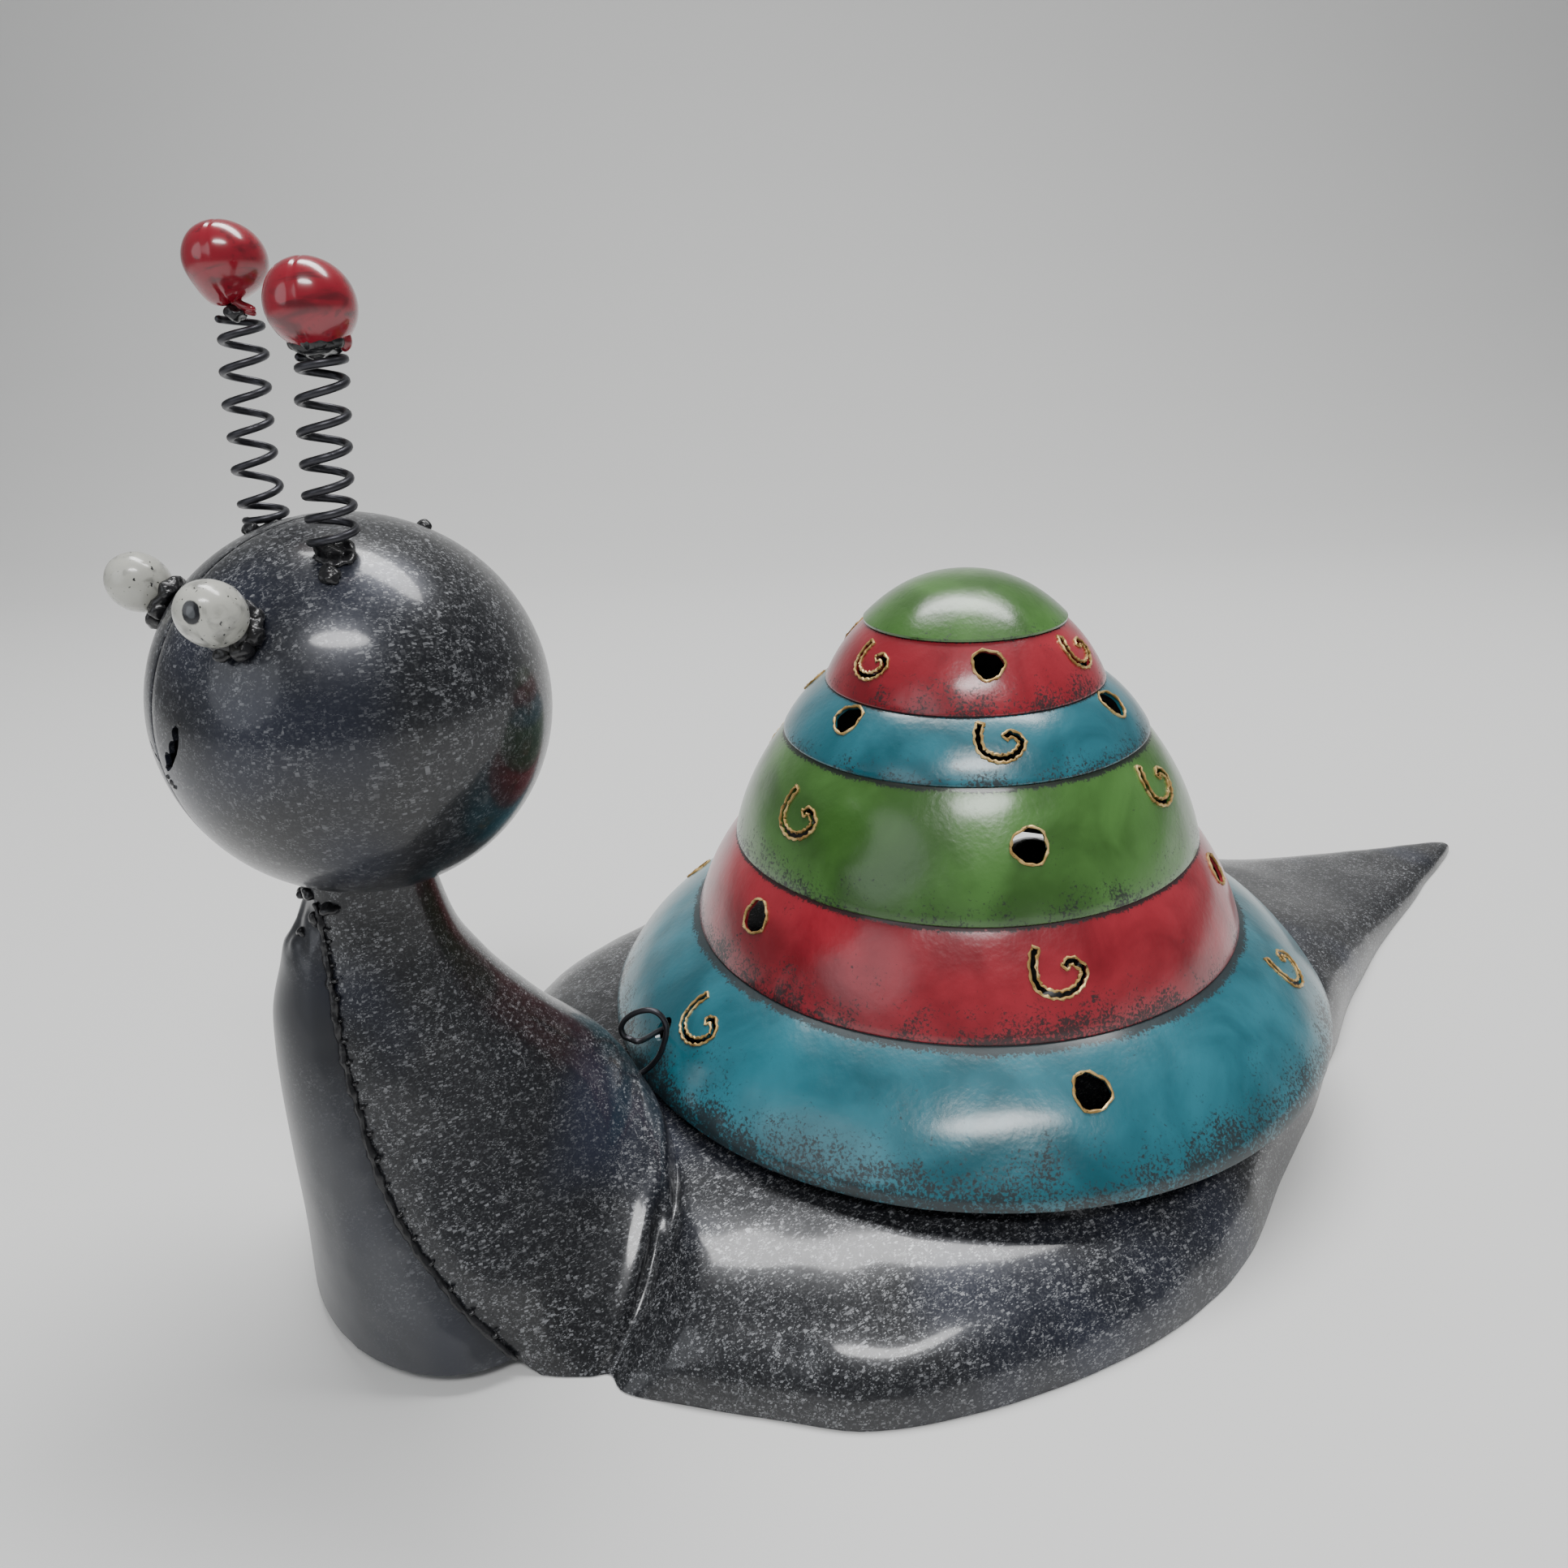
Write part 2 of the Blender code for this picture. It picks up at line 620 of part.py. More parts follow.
def piercing(band, share, azimuth):
    """Return the frame on the shell's outer face at a band and an azimuth."""
    point, slope = band_point(band, share)
    turn = math.radians(azimuth)
    around = Vector((math.cos(turn), math.sin(turn), 0.0))
    axis = place(0.0, 0.0, 0.0)
    origin = axis + (around * point.x + Vector((0.0, 0.0, point.y + SHELL_RIM_HEIGHT))) * MM
    return facing(origin, around * slope.x + Vector((0.0, 0.0, slope.y)))


def make_shell(group, cutters, paint):
    """Make the tiered shell with its pierced columns and the hole for the hinge ring."""
    shell = turned("shell", shell_profile(), group, paint, closed=False, steps=48)
    shell.location = place(0.0, 0.0, 0.0)
    smooth(shell, 30.0)

    shape = bmesh.new()
    sizes = (0.8, 0.85, 1.0, 1.0, 1.0)
    for column, places in enumerate(PIERCED_COLUMNS):
        for row, (azimuth, share) in enumerate(places):
            frame = piercing(SHELL_BANDS[row], share, azimuth)
            if (row + column) % 2 == 0:
                stroke_prism(shape, hook_path(sizes[row]), 1.05, 2.6, frame)
            else:
                radius = 2.7 * sizes[row] ** 0.5
                spokes = [math.radians(36.0 * i) for i in range(10)]
                outline = [Vector((math.cos(turn), math.sin(turn))) * radius for turn in spokes]
                prism(shape, outline, 2.6, frame)
    bmesh.ops.recalc_face_normals(shape, faces=shape.faces)
    cut(shell, as_cutter(mesh_object("piercings", shape, cutters)))

    cut(shell, round_cutter("ring_hole", HINGE_HOLE, 4.0, cutters))


def make_ring(group, finish):
    """Make the hinge ring: its bar goes through the shell's wall and its end into the shoulder."""
    side, forward, height = HINGE_HOLE
    points = [place(side - 1.4, forward - 3.3, height - 1.1), place(side, forward, height)]
    lean = math.radians(RING_TURN)
    for along, rise in RING_BENDS:
        x = RING_CENTRE[0] + along * math.sin(lean)
        y = RING_CENTRE[1] - along * math.cos(lean)
        points.append(place(x, y, RING_CENTRE[2] + rise))
    side, forward, height = RING_HOLE
    for step in (0.0, 1.8):
        points.append(place(side - 0.1 * step, forward + step, height))
    wire("hinge_ring", points, WIRE_RADIUS, group, finish)


def make_cup(group, finish):
    """Make the tealight cup that is welded on the back, under the shell."""
    rim = CUP_FLOOR_HEIGHT + CUP_DEPTH
    floor = CUP_FLOOR_HEIGHT + SHEET
    inside = CUP_RADIUS - SHEET
    profile = [
        (0.0, floor), (inside - 0.4, floor), (inside, floor + 0.4), (inside, rim), (CUP_RADIUS, rim),
        (CUP_RADIUS, CUP_FLOOR_HEIGHT + 0.8), (CUP_RADIUS - 0.8, CUP_FLOOR_HEIGHT), (0.0, CUP_FLOOR_HEIGHT),
    ]
    cup = turned("tealight_cup", profile, group, finish, closed=False, steps=32)
    cup.location = place(0.0, 0.0, 0.0)
    smooth(cup)


def main():
    """Build every piece."""
    clear_scene()
    group = collection("snail_lantern")
    cutters = collection("cutters")
    black = material("black_paint", (0.03, 0.032, 0.036), 0.32, 0.3)
    grey = material("grey_paint", (0.16, 0.165, 0.175), 0.36, 0.4)
    weld = material("weld_black", (0.01, 0.011, 0.013), 0.45, 0.3)
    white = material("eye_white", (0.75, 0.74, 0.69), 0.3, 0.0)
    red = material("antenna_red", (0.45, 0.02, 0.05), 0.15, 0.0)
    steel = material("dark_wire", (0.06, 0.06, 0.065), 0.35, 0.7)
    green = material("shell_enamel", (0.13, 0.3, 0.08), 0.25, 0.0)
    zinc = material("cup_steel", (0.35, 0.36, 0.37), 0.4, 0.8)

    make_body(group, cutters, black, grey)
    make_seam_welds(group, weld)
    make_neck_weld(group, weld)
    make_head(group, cutters, black, weld, white)
    left = Antenna("left", (11.4, 91.2, 103.6), (10.4, 88.8, 126.1), 0.0, (67.0, 49.5))
    right = Antenna("right", (-9.4, 95.3, 103.6), (-10.0, 93.7, 131.5), 1.1, (-36.0, 66.0))
    for antenna in (left, right):
        antenna.make(group, steel, weld, red)
    make_shell(group, cutters, green)
    make_ring(group, steel)
    make_cup(group, zinc)


main()
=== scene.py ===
"""Looks of the snail lantern: its painted skin, tiered shell, head, eyes, antennae, ring and cup.

Sizes are millimetres, measured about the shell's upright axis: to the snail's left, forward of the
axis, and up from the floor. place() turns them into metres in the shared frame.
"""

import logging
import math
from collections.abc import Callable, Iterator, Sequence
from dataclasses import dataclass, field
from enum import Enum

import bmesh
import bpy
from mathutils import Matrix, Vector, noise


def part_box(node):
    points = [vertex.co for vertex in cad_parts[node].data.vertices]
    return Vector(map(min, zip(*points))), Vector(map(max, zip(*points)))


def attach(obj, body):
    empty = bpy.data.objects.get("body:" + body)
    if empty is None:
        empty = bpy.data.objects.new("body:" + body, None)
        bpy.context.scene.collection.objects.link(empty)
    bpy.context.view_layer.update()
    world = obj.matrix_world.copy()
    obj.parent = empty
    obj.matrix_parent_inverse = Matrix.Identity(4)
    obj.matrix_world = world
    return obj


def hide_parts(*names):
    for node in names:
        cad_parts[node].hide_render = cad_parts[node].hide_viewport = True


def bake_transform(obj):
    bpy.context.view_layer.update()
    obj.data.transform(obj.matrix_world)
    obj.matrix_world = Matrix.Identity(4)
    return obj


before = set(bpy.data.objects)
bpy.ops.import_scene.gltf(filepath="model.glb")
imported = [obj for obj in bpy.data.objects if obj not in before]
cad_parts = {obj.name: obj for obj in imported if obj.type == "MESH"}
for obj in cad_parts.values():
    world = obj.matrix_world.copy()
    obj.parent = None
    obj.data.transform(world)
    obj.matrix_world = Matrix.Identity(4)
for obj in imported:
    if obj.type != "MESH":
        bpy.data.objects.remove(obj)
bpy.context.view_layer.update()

LOG = logging.getLogger("snail_lantern")
MM = 0.001
SHELL_LOW, SHELL_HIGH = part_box("shell")
AXIS_Y = (SHELL_LOW.y + SHELL_HIGH.y) / 2
RIM_HEIGHT = SHELL_LOW.z / MM
UP = Vector((0.0, 0.0, 1.0))
SHEET = 0.6

Point = tuple[float, float, float]
Paint = tuple[float, float, float]


class Side(Enum):
    """The snail's own left and right."""

    LEFT = 1.0
    RIGHT = -1.0

    @property
    def word(self) -> str:
        """The side as it is written in names."""
        return self.name.lower()


class Piercing(Enum):
    """The two shapes that are cut through the shell."""

    HOOK = "hook"
    HOLE = "hole"


# ---------------------------------------------------------------- points and meshes

def place(side: float, forward: float, height: float) -> Vector:
    """Return the point in metres for millimetres about the shell's axis."""
    return Vector((side * MM, AXIS_Y - forward * MM, height * MM))


def catmull(
    points: Sequence[Sequence[float]], steps: int, closed: bool = False,
) -> list[tuple[float, ...]]:
    """Draw a smooth line through points of any dimension.

    Args:
        points: The points that the line goes through.
        steps: Points on the line for each span.
        closed: Whether the line comes back to its start.

    Returns:
        The line's points, with the last one at the last point given, or at the first if closed.
    """
    count = len(points)
    line: list[tuple[float, ...]] = []
    for span in range(count if closed else count - 1):
        if closed:
            a, b, c, d = (points[(span + k) % count] for k in (-1, 0, 1, 2))
        else:
            a, b, c, d = (points[min(max(span + k, 0), count - 1)] for k in (-1, 0, 1, 2))
        for step in range(steps):
            t = step / steps
            line.append(tuple(
                0.5 * (2 * q + (r - p) * t + (2 * p - 5 * q + 4 * r - s) * t * t
                       + (3 * q - p - 3 * r + s) * t ** 3)
                for p, q, r, s in zip(a, b, c, d)
            ))
    line.append(tuple(points[0] if closed else points[-1]))
    return line


def bezier(controls: Sequence[Vector], share: float) -> Vector:
    """Return the point at a share of the way along a cubic curve."""
    a, b, c, d = controls
    back = 1.0 - share
    return a * back ** 3 + b * (3 * back ** 2 * share) + c * (3 * back * share ** 2) + d * share ** 3


def lay_grid(rows: Sequence[Sequence[Vector]]) -> bmesh.types.BMesh:
    """Lay a grid over rows of points and weld the points that coincide.

    Args:
        rows: Rows of equal length. A row that ends where it starts closes into a ring.

    Returns:
        The grid as a bmesh.
    """
    shape = bmesh.new()
    down, across = len(rows) - 1, len(rows[0]) - 1
    bmesh.ops.create_grid(shape, x_segments=across, y_segments=down, size=1.0)
    for vert in shape.verts:
        column = round((vert.co.x + 1.0) / 2.0 * across)
        row = round((vert.co.y + 1.0) / 2.0 * down)
        vert.co = rows[row][column]
    bmesh.ops.remove_doubles(shape, verts=shape.verts, dist=1e-7)
    return shape


def close_holes(shape: bmesh.types.BMesh) -> None:
    """Fill every open edge loop and turn the faces outwards."""
    rim = [edge for edge in shape.edges if edge.is_boundary]
    if rim:
        bmesh.ops.holes_fill(shape, edges=rim, sides=0)
    bmesh.ops.recalc_face_normals(shape, faces=shape.faces)


def lumps(point: Vector, grain: float, seed: float = 0.0) -> float:
    """Return smooth noise from -1 to 1 at a point, with lumps of about the grain in millimetres."""
    return noise.noise(point / (grain * MM) + Vector((seed, seed, seed)))


def tube(
    path: Sequence[Vector],
    radius: Callable[[float], float],
    sides: int = 10,
    lump: float = 0.0,
    grain: float = 1.2,
    closed: bool = False,
    ups: Sequence[Vector] = (),
) -> bmesh.types.BMesh:
    """Sweep a round section along a path.

    Args:
        path: The middle line in metres.
        radius: Gives the radius in millimetres at a share of the path.
        sides: Sides of the section.
        lump: How far the surface is thrown up and down, in millimetres.
        grain: Size of those lumps in millimetres.
        closed: Whether the path comes back to its start.
        ups: A direction for each point that keeps the section from turning.

    Returns:
        The closed surface.
    """
    count = len(path)
    rings: list[list[Vector]] = []
    spoke = None
    for i, point in enumerate(path):
        before = path[i - 1] if closed or i else point
        after = path[(i + 1) % count] if closed or i < count - 1 else point
        along = (after - before).normalized()
        guide = ups[i] if ups else (spoke or along.orthogonal())
        spoke = (guide - along * guide.dot(along)).normalized()
        across = along.cross(spoke)
        size = radius(i / (count - 1))
        ends = [(0.0, 1.0)]
        if not closed and i == 0:
            ends = [(-0.85, 0.4), (-0.5, 0.8), (0.0, 1.0)]
        elif not closed and i == count - 1:
            ends = [(0.0, 1.0), (0.5, 0.8), (0.85, 0.4)]
        for push, share in ends:
            middle = point + along * push * size * MM
            ring = []
            for k in range(sides):
                turn = 2.0 * math.pi * k / sides
                out = spoke * math.cos(turn) + across * math.sin(turn)
                reach = size + lump * lumps(middle + out * size * MM, grain)
                ring.append(middle + out * max(reach, 0.2 * size) * share * MM)
            rings.append(ring + ring[:1])
    if closed:
        rings.append(rings[0])
    shape = lay_grid(rings)
    close_holes(shape)
    return shape


def blob(
    centre: Vector, reach: Point, lump: float, grain: float, facing: Vector = UP, fine: int = 4,
) -> bmesh.types.BMesh:
    """Make a lump of weld or paint.

    Args:
        centre: Its middle in metres.
        reach: Its half sizes in millimetres, the last along facing.
        lump: How uneven it is, in millimetres.
        grain: The size of that unevenness in millimetres.
        facing: The direction that its third half size follows.
        fine: Subdivisions of the ball that it starts from.

    Returns:
        The closed surface.
    """
    shape = bmesh.new()
    bmesh.ops.create_icosphere(shape, subdivisions=fine, radius=1.0)
    turn = UP.rotation_difference(facing).to_matrix()
    for vert in shape.verts:
        out = vert.co.normalized()
        spot = centre + turn @ Vector([out[k] * reach[k] for k in range(3)]) * MM
        vert.co = spot + (turn @ out) * lump * lumps(spot, grain) * MM
    return shape


def merged(shapes: Sequence[bmesh.types.BMesh]) -> bmesh.types.BMesh:
    """Put several shapes into one.

    Args:
        shapes: The shapes, all used up but the first.

    Returns:
        The first shape, with the others in it.
    """
    whole = shapes[0]
    for shape in shapes[1:]:
        mesh = bpy.data.meshes.new("part")
        shape.to_mesh(mesh)
        shape.free()
        whole.from_mesh(mesh)
        bpy.data.meshes.remove(mesh)
    return whole


def spun(
    profile: Sequence[tuple[float, float]], steps: int, closed: bool, degrees: float = 360.0,
) -> bmesh.types.BMesh:
    """Turn a profile about the upright axis.

    Args:
        profile: Radius and height of each point, in millimetres.
        steps: Steps round the turn.
        closed: Whether the profile comes back to its start.
        degrees: How far it turns.

    Returns:
        The turned surface about the origin, with its poles welded.
    """
    shape = bmesh.new()
    verts = [shape.verts.new((radius * MM, 0.0, height * MM)) for radius, height in profile]
    pairs = list(zip(verts, verts[1:])) + ([(verts[-1], verts[0])] if closed else [])
    edges = [shape.edges.new(pair) for pair in pairs]
    bmesh.ops.spin(
        shape, geom=verts + edges, cent=(0, 0, 0), axis=(0, 0, 1), dvec=(0, 0, 0),
        angle=math.radians(degrees), steps=steps, use_merge=degrees == 360.0,
    )
    bmesh.ops.remove_doubles(shape, verts=shape.verts, dist=1e-7)
    bmesh.ops.recalc_face_normals(shape, faces=shape.faces)
    return shape


def add_object(name: str, shape: bmesh.types.BMesh, angle: float = 40.0) -> bpy.types.Object:
    """Turn a shape into a smooth-shaded object and free the shape.

    Args:
        name: The object's name.
        shape: The shape, which is used up.
        angle: Edges sharper than this many degrees stay sharp.

    Returns:
        The object.
    """
    mesh = bpy.data.meshes.new(name)
    shape.to_mesh(mesh)
    shape.free()
    made = bpy.data.objects.new(name, mesh)
    bpy.context.scene.collection.objects.link(made)
    mesh.shade_smooth()
    mesh.set_sharp_from_angle(angle=math.radians(angle))
    return made


def applied(made: bpy.types.Object, angle: float = 40.0) -> bpy.types.Object:
    """Apply every modifier of an object and shade the result smooth.

    Args:
        made: The object.
        angle: Edges sharper than this many degrees stay sharp.

    Returns:
        The object, with its new mesh.
    """
    bpy.context.view_layer.update()
    graph = bpy.context.evaluated_depsgraph_get()
    mesh = bpy.data.meshes.new_from_object(made.evaluated_get(graph))
    made.modifiers.clear()
    made.data = mesh
    mesh.shade_smooth()
    mesh.set_sharp_from_angle(angle=math.radians(angle))
    return made


def carve(made: bpy.types.Object, tool: bmesh.types.BMesh, index: int = 0) -> None:
    """Take a closed shape away from an object.

    Args:
        made: The object that is cut.
        tool: The shape that is taken away.
        index: Material index of the faces that the cut leaves.
    """
    bmesh.ops.recalc_face_normals(tool, faces=tool.faces)
    for face in tool.faces:
        face.material_index = index
    cutter = add_object(made.name + "_cut", tool)
    cutter.data.materials.clear()
    for slot in made.data.materials:
        cutter.data.materials.append(slot)
    hole = made.modifiers.new("cut", "BOOLEAN")
    hole.operation = "DIFFERENCE"
    hole.solver = "EXACT"
    hole.use_self = True
    hole.object = cutter
    applied(made)
    bpy.data.objects.remove(cutter, do_unlink=True)


def fit(
    made: bpy.types.Object, finish: "Finish", body: str, stands_for: Sequence[str] = (),
) -> bpy.types.Object:
    """Finish a piece: its material if it has none, its body and the nodes it stands for.

    Args:
        made: The piece, in place.
        finish: Its finish.
        body: The body that it rides on, or nothing, which leaves it unattached.
        stands_for: The CAD nodes that it stands for.

    Returns:
        The piece.
    """
    if not made.data.materials:
        made.data.materials.append(finish.material())
    if body:
        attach(made, body)
    if stands_for:
        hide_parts(*stands_for)
    LOG.info("%s: %d faces on %s", made.name, len(made.data.polygons), body or "two bodies")
    return made


# ---------------------------------------------------------------- shading

class Board:
    """Adds nodes to one tree and joins them."""

    def __init__(self, tree: bpy.types.NodeTree) -> None:
        self.tree = tree

    def add(self, kind: str, **settings: object) -> bpy.types.Node:
        """Add a node and set its properties."""
        node = self.tree.nodes.new(kind)
        for key, value in settings.items():
            setattr(node, key, value)
        return node

    def feed(self, socket: bpy.types.NodeSocket, value: object) -> None:
        """Join a socket to an input, or write a constant on it."""
        if isinstance(value, bpy.types.NodeSocket):
            self.tree.links.new(value, socket)
        elif isinstance(value, tuple) and socket.type == "RGBA":
            socket.default_value = (*value, 1.0)
        else:
            socket.default_value = value

    def maths(self, operation: str, first: object, second: object = 0.0) -> bpy.types.NodeSocket:
        """Return the result of a Math node."""
        node = self.add("ShaderNodeMath", operation=operation)
        self.feed(node.inputs[0], first)
        self.feed(node.inputs[1], second)
        return node.outputs[0]

    def noise(
        self, vector: object, scale: object, detail: float = 3.0, distortion: float = 0.0,
    ) -> bpy.types.NodeSocket:
        """Return noise from 0 to 1."""
        node = self.add("ShaderNodeTexNoise")
        self.feed(node.inputs["Vector"], vector)
        self.feed(node.inputs["Scale"], scale)
        self.feed(node.inputs["Detail"], detail)
        self.feed(node.inputs["Distortion"], distortion)
        return node.outputs["Fac"]

    def edges(self, vector: object, scale: object) -> bpy.types.NodeSocket:
        """Return the distance to the nearest cell edge."""
        node = self.add("ShaderNodeTexVoronoi", feature="DISTANCE_TO_EDGE")
        self.feed(node.inputs["Vector"], vector)
        self.feed(node.inputs["Scale"], scale)
        return node.outputs["Distance"]

    def ramp(
        self, value: object, low: object, high: object, start: float = 0.0, end: float = 1.0,
    ) -> bpy.types.NodeSocket:
        """Return a value mapped smoothly from low..high to start..end."""
        node = self.add("ShaderNodeMapRange", interpolation_type="SMOOTHSTEP")
        self.feed(node.inputs["Value"], value)
        self.feed(node.inputs["From Min"], low)
        self.feed(node.inputs["From Max"], high)
        self.feed(node.inputs["To Min"], start)
        self.feed(node.inputs["To Max"], end)
        return node.outputs["Result"]

    def blend(self, share: object, first: object, second: object, mode: str = "MIX") -> bpy.types.NodeSocket:
        """Return two colours mixed by a share."""
        node = self.add("ShaderNodeMix", data_type="RGBA", blend_type=mode)
        self.feed(node.inputs["Factor"], share)
        self.feed(node.inputs[6], first)
        self.feed(node.inputs[7], second)
        return node.outputs[2]

    def group(self, tree: bpy.types.NodeTree, **values: object) -> bpy.types.Node:
        """Place a node group and give its inputs."""
        node = self.add("ShaderNodeGroup", node_tree=tree)
        for key, value in values.items():
            self.feed(node.inputs[key], value)
        return node


class Effects:
    """The shader node groups that several finishes share, each built once."""

    made: dict[str, bpy.types.NodeTree] = {}

    @classmethod
    def start(
        cls, name: str, inputs: Sequence[str], outputs: Sequence[str],
    ) -> tuple[Board, dict[str, bpy.types.NodeSocket], bpy.types.Node]:
        """Start a group with a Vector input and the named number inputs and outputs.

        Args:
            name: The group's name.
            inputs: Names of its number inputs, after Vector.
            outputs: Names of its number outputs.

        Returns:
            A board on the group, its input sockets by name, and its output node.
        """
        tree = bpy.data.node_groups.new(name, "ShaderNodeTree")
        tree.interface.new_socket("Vector", in_out="INPUT", socket_type="NodeSocketVector")
        for word in inputs:
            tree.interface.new_socket(word, in_out="INPUT", socket_type="NodeSocketFloat")
        for word in outputs:
            tree.interface.new_socket(word, in_out="OUTPUT", socket_type="NodeSocketFloat")
        cls.made[name] = tree
        board = Board(tree)
        entry = board.add("NodeGroupInput")
        given = {socket.name: socket for socket in entry.outputs if socket.name}
        return board, given, board.add("NodeGroupOutput")

    @classmethod
    def flecks(cls) -> bpy.types.NodeTree:
        """Short silver strokes in every direction, thicker in some patches than others."""
        if "silver_flecks" in cls.made:
            return cls.made["silver_flecks"]
        board, given, out = cls.start("silver_flecks", ("Cover",), ("Mask", "Haze"))
        vector = given["Vector"]
        strokes = None
        for scale, thin in (
            (700.0, 0.014), (1000.0, 0.020), (1400.0, 0.028), (2000.0, 0.034), (2700.0, 0.04),
        ):
            shift = board.add("ShaderNodeVectorMath", operation="ADD")
            board.feed(shift.inputs[0], vector)
            shift.inputs[1].default_value = (scale, 2.0 * scale, -scale)
            line = board.ramp(board.edges(shift.outputs[0], scale), 0.0, thin, 1.0, 0.0)
            broken = board.ramp(board.noise(shift.outputs[0], scale * 0.6, 1.0), 0.48, 0.60)
            stroke = board.maths("MULTIPLY", line, broken)
            strokes = stroke if strokes is None else board.maths("MAXIMUM", strokes, stroke)
        patch = board.noise(vector, 48.0, 4.0, 0.3)
        open_from = board.maths("SUBTRACT", 0.95, given["Cover"])
        patches = board.ramp(patch, open_from, board.maths("ADD", open_from, 0.45))
        grain = board.ramp(board.noise(vector, 3200.0, 2.0), 0.45, 0.8)
        board.feed(out.inputs["Mask"], board.maths("MULTIPLY", strokes, patches))
        board.feed(out.inputs["Haze"], board.maths("MULTIPLY", grain, patches))
        return cls.made["silver_flecks"]

    @classmethod
    def sponge(cls) -> bpy.types.NodeTree:
        """Dabbed darkening for sponged edges and painted shade: blotches that close up as Amount nears 1."""
        if "sponged_darkening_and_shade" in cls.made:
            return cls.made["sponged_darkening_and_shade"]
        board, given, out = cls.start("sponged_darkening_and_shade", ("Amount",), ("Mask",))
        coarse = board.noise(given["Vector"], 210.0, 2.0, 0.4)
        fine = board.noise(given["Vector"], 2300.0, 4.0, 0.6)
        both = board.maths("ADD", board.maths("MULTIPLY", coarse, 0.35), board.maths("MULTIPLY", fine, 0.65))
        edge = board.maths("SUBTRACT", 0.77, board.maths("MULTIPLY", given["Amount"], 0.5))
        board.feed(out.inputs["Mask"], board.ramp(both, edge, board.maths("ADD", edge, 0.14)))
        return cls.made["sponged_darkening_and_shade"]

    @classmethod
    def unevenness(cls) -> bpy.types.NodeTree:
        """The ripple of brushed paint over hand-beaten sheet, as a height."""
        if "hand_unevenness" in cls.made:
            return cls.made["hand_unevenness"]
        board, given, out = cls.start("hand_unevenness", (), ("Height",))
        broad = board.noise(given["Vector"], 90.0, 1.0)
        skin = board.noise(given["Vector"], 1100.0, 2.0)
        board.feed(out.inputs["Height"], board.maths("ADD", broad, board.maths("MULTIPLY", skin, 0.06)))
        return cls.made["hand_unevenness"]


@dataclass(frozen=True)
class Finish:
    """A surface finish: its slot in the record, its base colour and its gloss."""

    name: str
    slot: str
    colour: Paint
    roughness: float = 0.35
    metallic: float = 0.0
    coat: float = 0.0
    bump: float = 0.25
    depth: float = 0.2
    coat_roughness: float = 0.1

    def material(self) -> bpy.types.Material:
        """Return this finish's material, built the first time it is asked for."""
        found = bpy.data.materials.get(self.name)
        if found:
            return found
        made = bpy.data.materials.new(self.name)
        made.use_nodes = True
        board = Board(made.node_tree)
        shader = made.node_tree.nodes["Principled BSDF"]
        shader.inputs["Roughness"].default_value = self.roughness
        shader.inputs["Metallic"].default_value = self.metallic
        shader.inputs["Coat Weight"].default_value = self.coat
        shader.inputs["Coat Roughness"].default_value = self.coat_roughness
        vector = board.add("ShaderNodeTexCoord").outputs["Object"]
        board.feed(shader.inputs["Base Color"], self.paint(board, shader, vector))
        lift = board.add("ShaderNodeBump")
        lift.inputs["Strength"].default_value = self.bump
        lift.inputs["Distance"].default_value = self.depth * MM
        board.feed(lift.inputs["Height"], self.relief(board, vector))
        board.feed(shader.inputs["Normal"], lift.outputs["Normal"])
        return made

    def paint(self, board: Board, shader: bpy.types.Node, vector: bpy.types.NodeSocket) -> object:
        """Return the colour over the surface.

        Args:
            board: The board of the material's nodes.
            shader: The material's Principled node.
            vector: Object coordinates.

        Returns:
            The colour, as a socket.
        """
        share = board.ramp(board.noise(vector, 260.0, 4.0), 0.3, 0.7)
        darker = tuple(0.6 * value for value in self.colour)
        return board.blend(share, darker, self.colour)

    def relief(self, board: Board, vector: bpy.types.NodeSocket) -> bpy.types.NodeSocket:
        """Return the height over the surface.

        Args:
            board: The board of the material's nodes.
            vector: Object coordinates.

        Returns:
            The height, as a socket.
        """
        return board.group(Effects.unevenness(), Vector=vector).outputs["Height"]


@dataclass(frozen=True)
class FleckedPaint(Finish):
    """Charcoal lacquer over scratched steel, full of fine silver strokes, with a painted highlight on faces
    that look up.
    """

    fleck: Paint = (0.42, 0.43, 0.45)
    cover: float = 0.5
    # share of painted highlight: how much more the strokes and haze show on faces that look up
    painted_top_light: float = 0.6

    def paint(self, board: Board, shader: bpy.types.Node, vector: bpy.types.NodeSocket) -> object:
        """Return charcoal with strokes and haze, both stronger on faces that look up as a painted highlight
        from the light above.

        Args:
            board: The board of the material's nodes.
            shader: The material's Principled node.
            vector: Object coordinates.

        Returns:
            The colour, as a socket.
        """
        strokes = board.group(Effects.flecks(), Vector=vector, Cover=self.cover)
        normal = board.add("ShaderNodeSeparateXYZ")
        board.feed(normal.inputs[0], board.add("ShaderNodeNewGeometry").outputs["Normal"])
        # painted highlight: strokes and haze grow stronger on faces that look up, as if lit from above
        lit = board.ramp(normal.outputs["Z"], -0.5, 0.9, 1.0 - self.painted_top_light, 1.0)
        patch = board.ramp(board.noise(vector, 34.0, 3.0), 0.32, 0.68)
        tinted = board.blend(patch, tuple(0.55 * value for value in self.colour), self.colour)
        clouds = board.ramp(board.noise(vector, 42.0, 1.0), 0.52, 0.75)
        bluish = board.blend(clouds, tinted, (0.018, 0.022, 0.040))
        haze = board.maths("MULTIPLY", board.maths("MULTIPLY", strokes.outputs["Haze"], lit), 0.22)
        hazed = board.blend(haze, bluish, tuple(0.55 * value for value in self.fleck))
        mask = board.maths("MULTIPLY", strokes.outputs["Mask"], lit)
        board.feed(shader.inputs["Roughness"], board.maths(
            "ADD", self.roughness, board.maths("MULTIPLY", strokes.outputs["Haze"], 0.15)))
        return board.blend(board.maths("MULTIPLY", mask, 0.65), hazed, self.fleck)


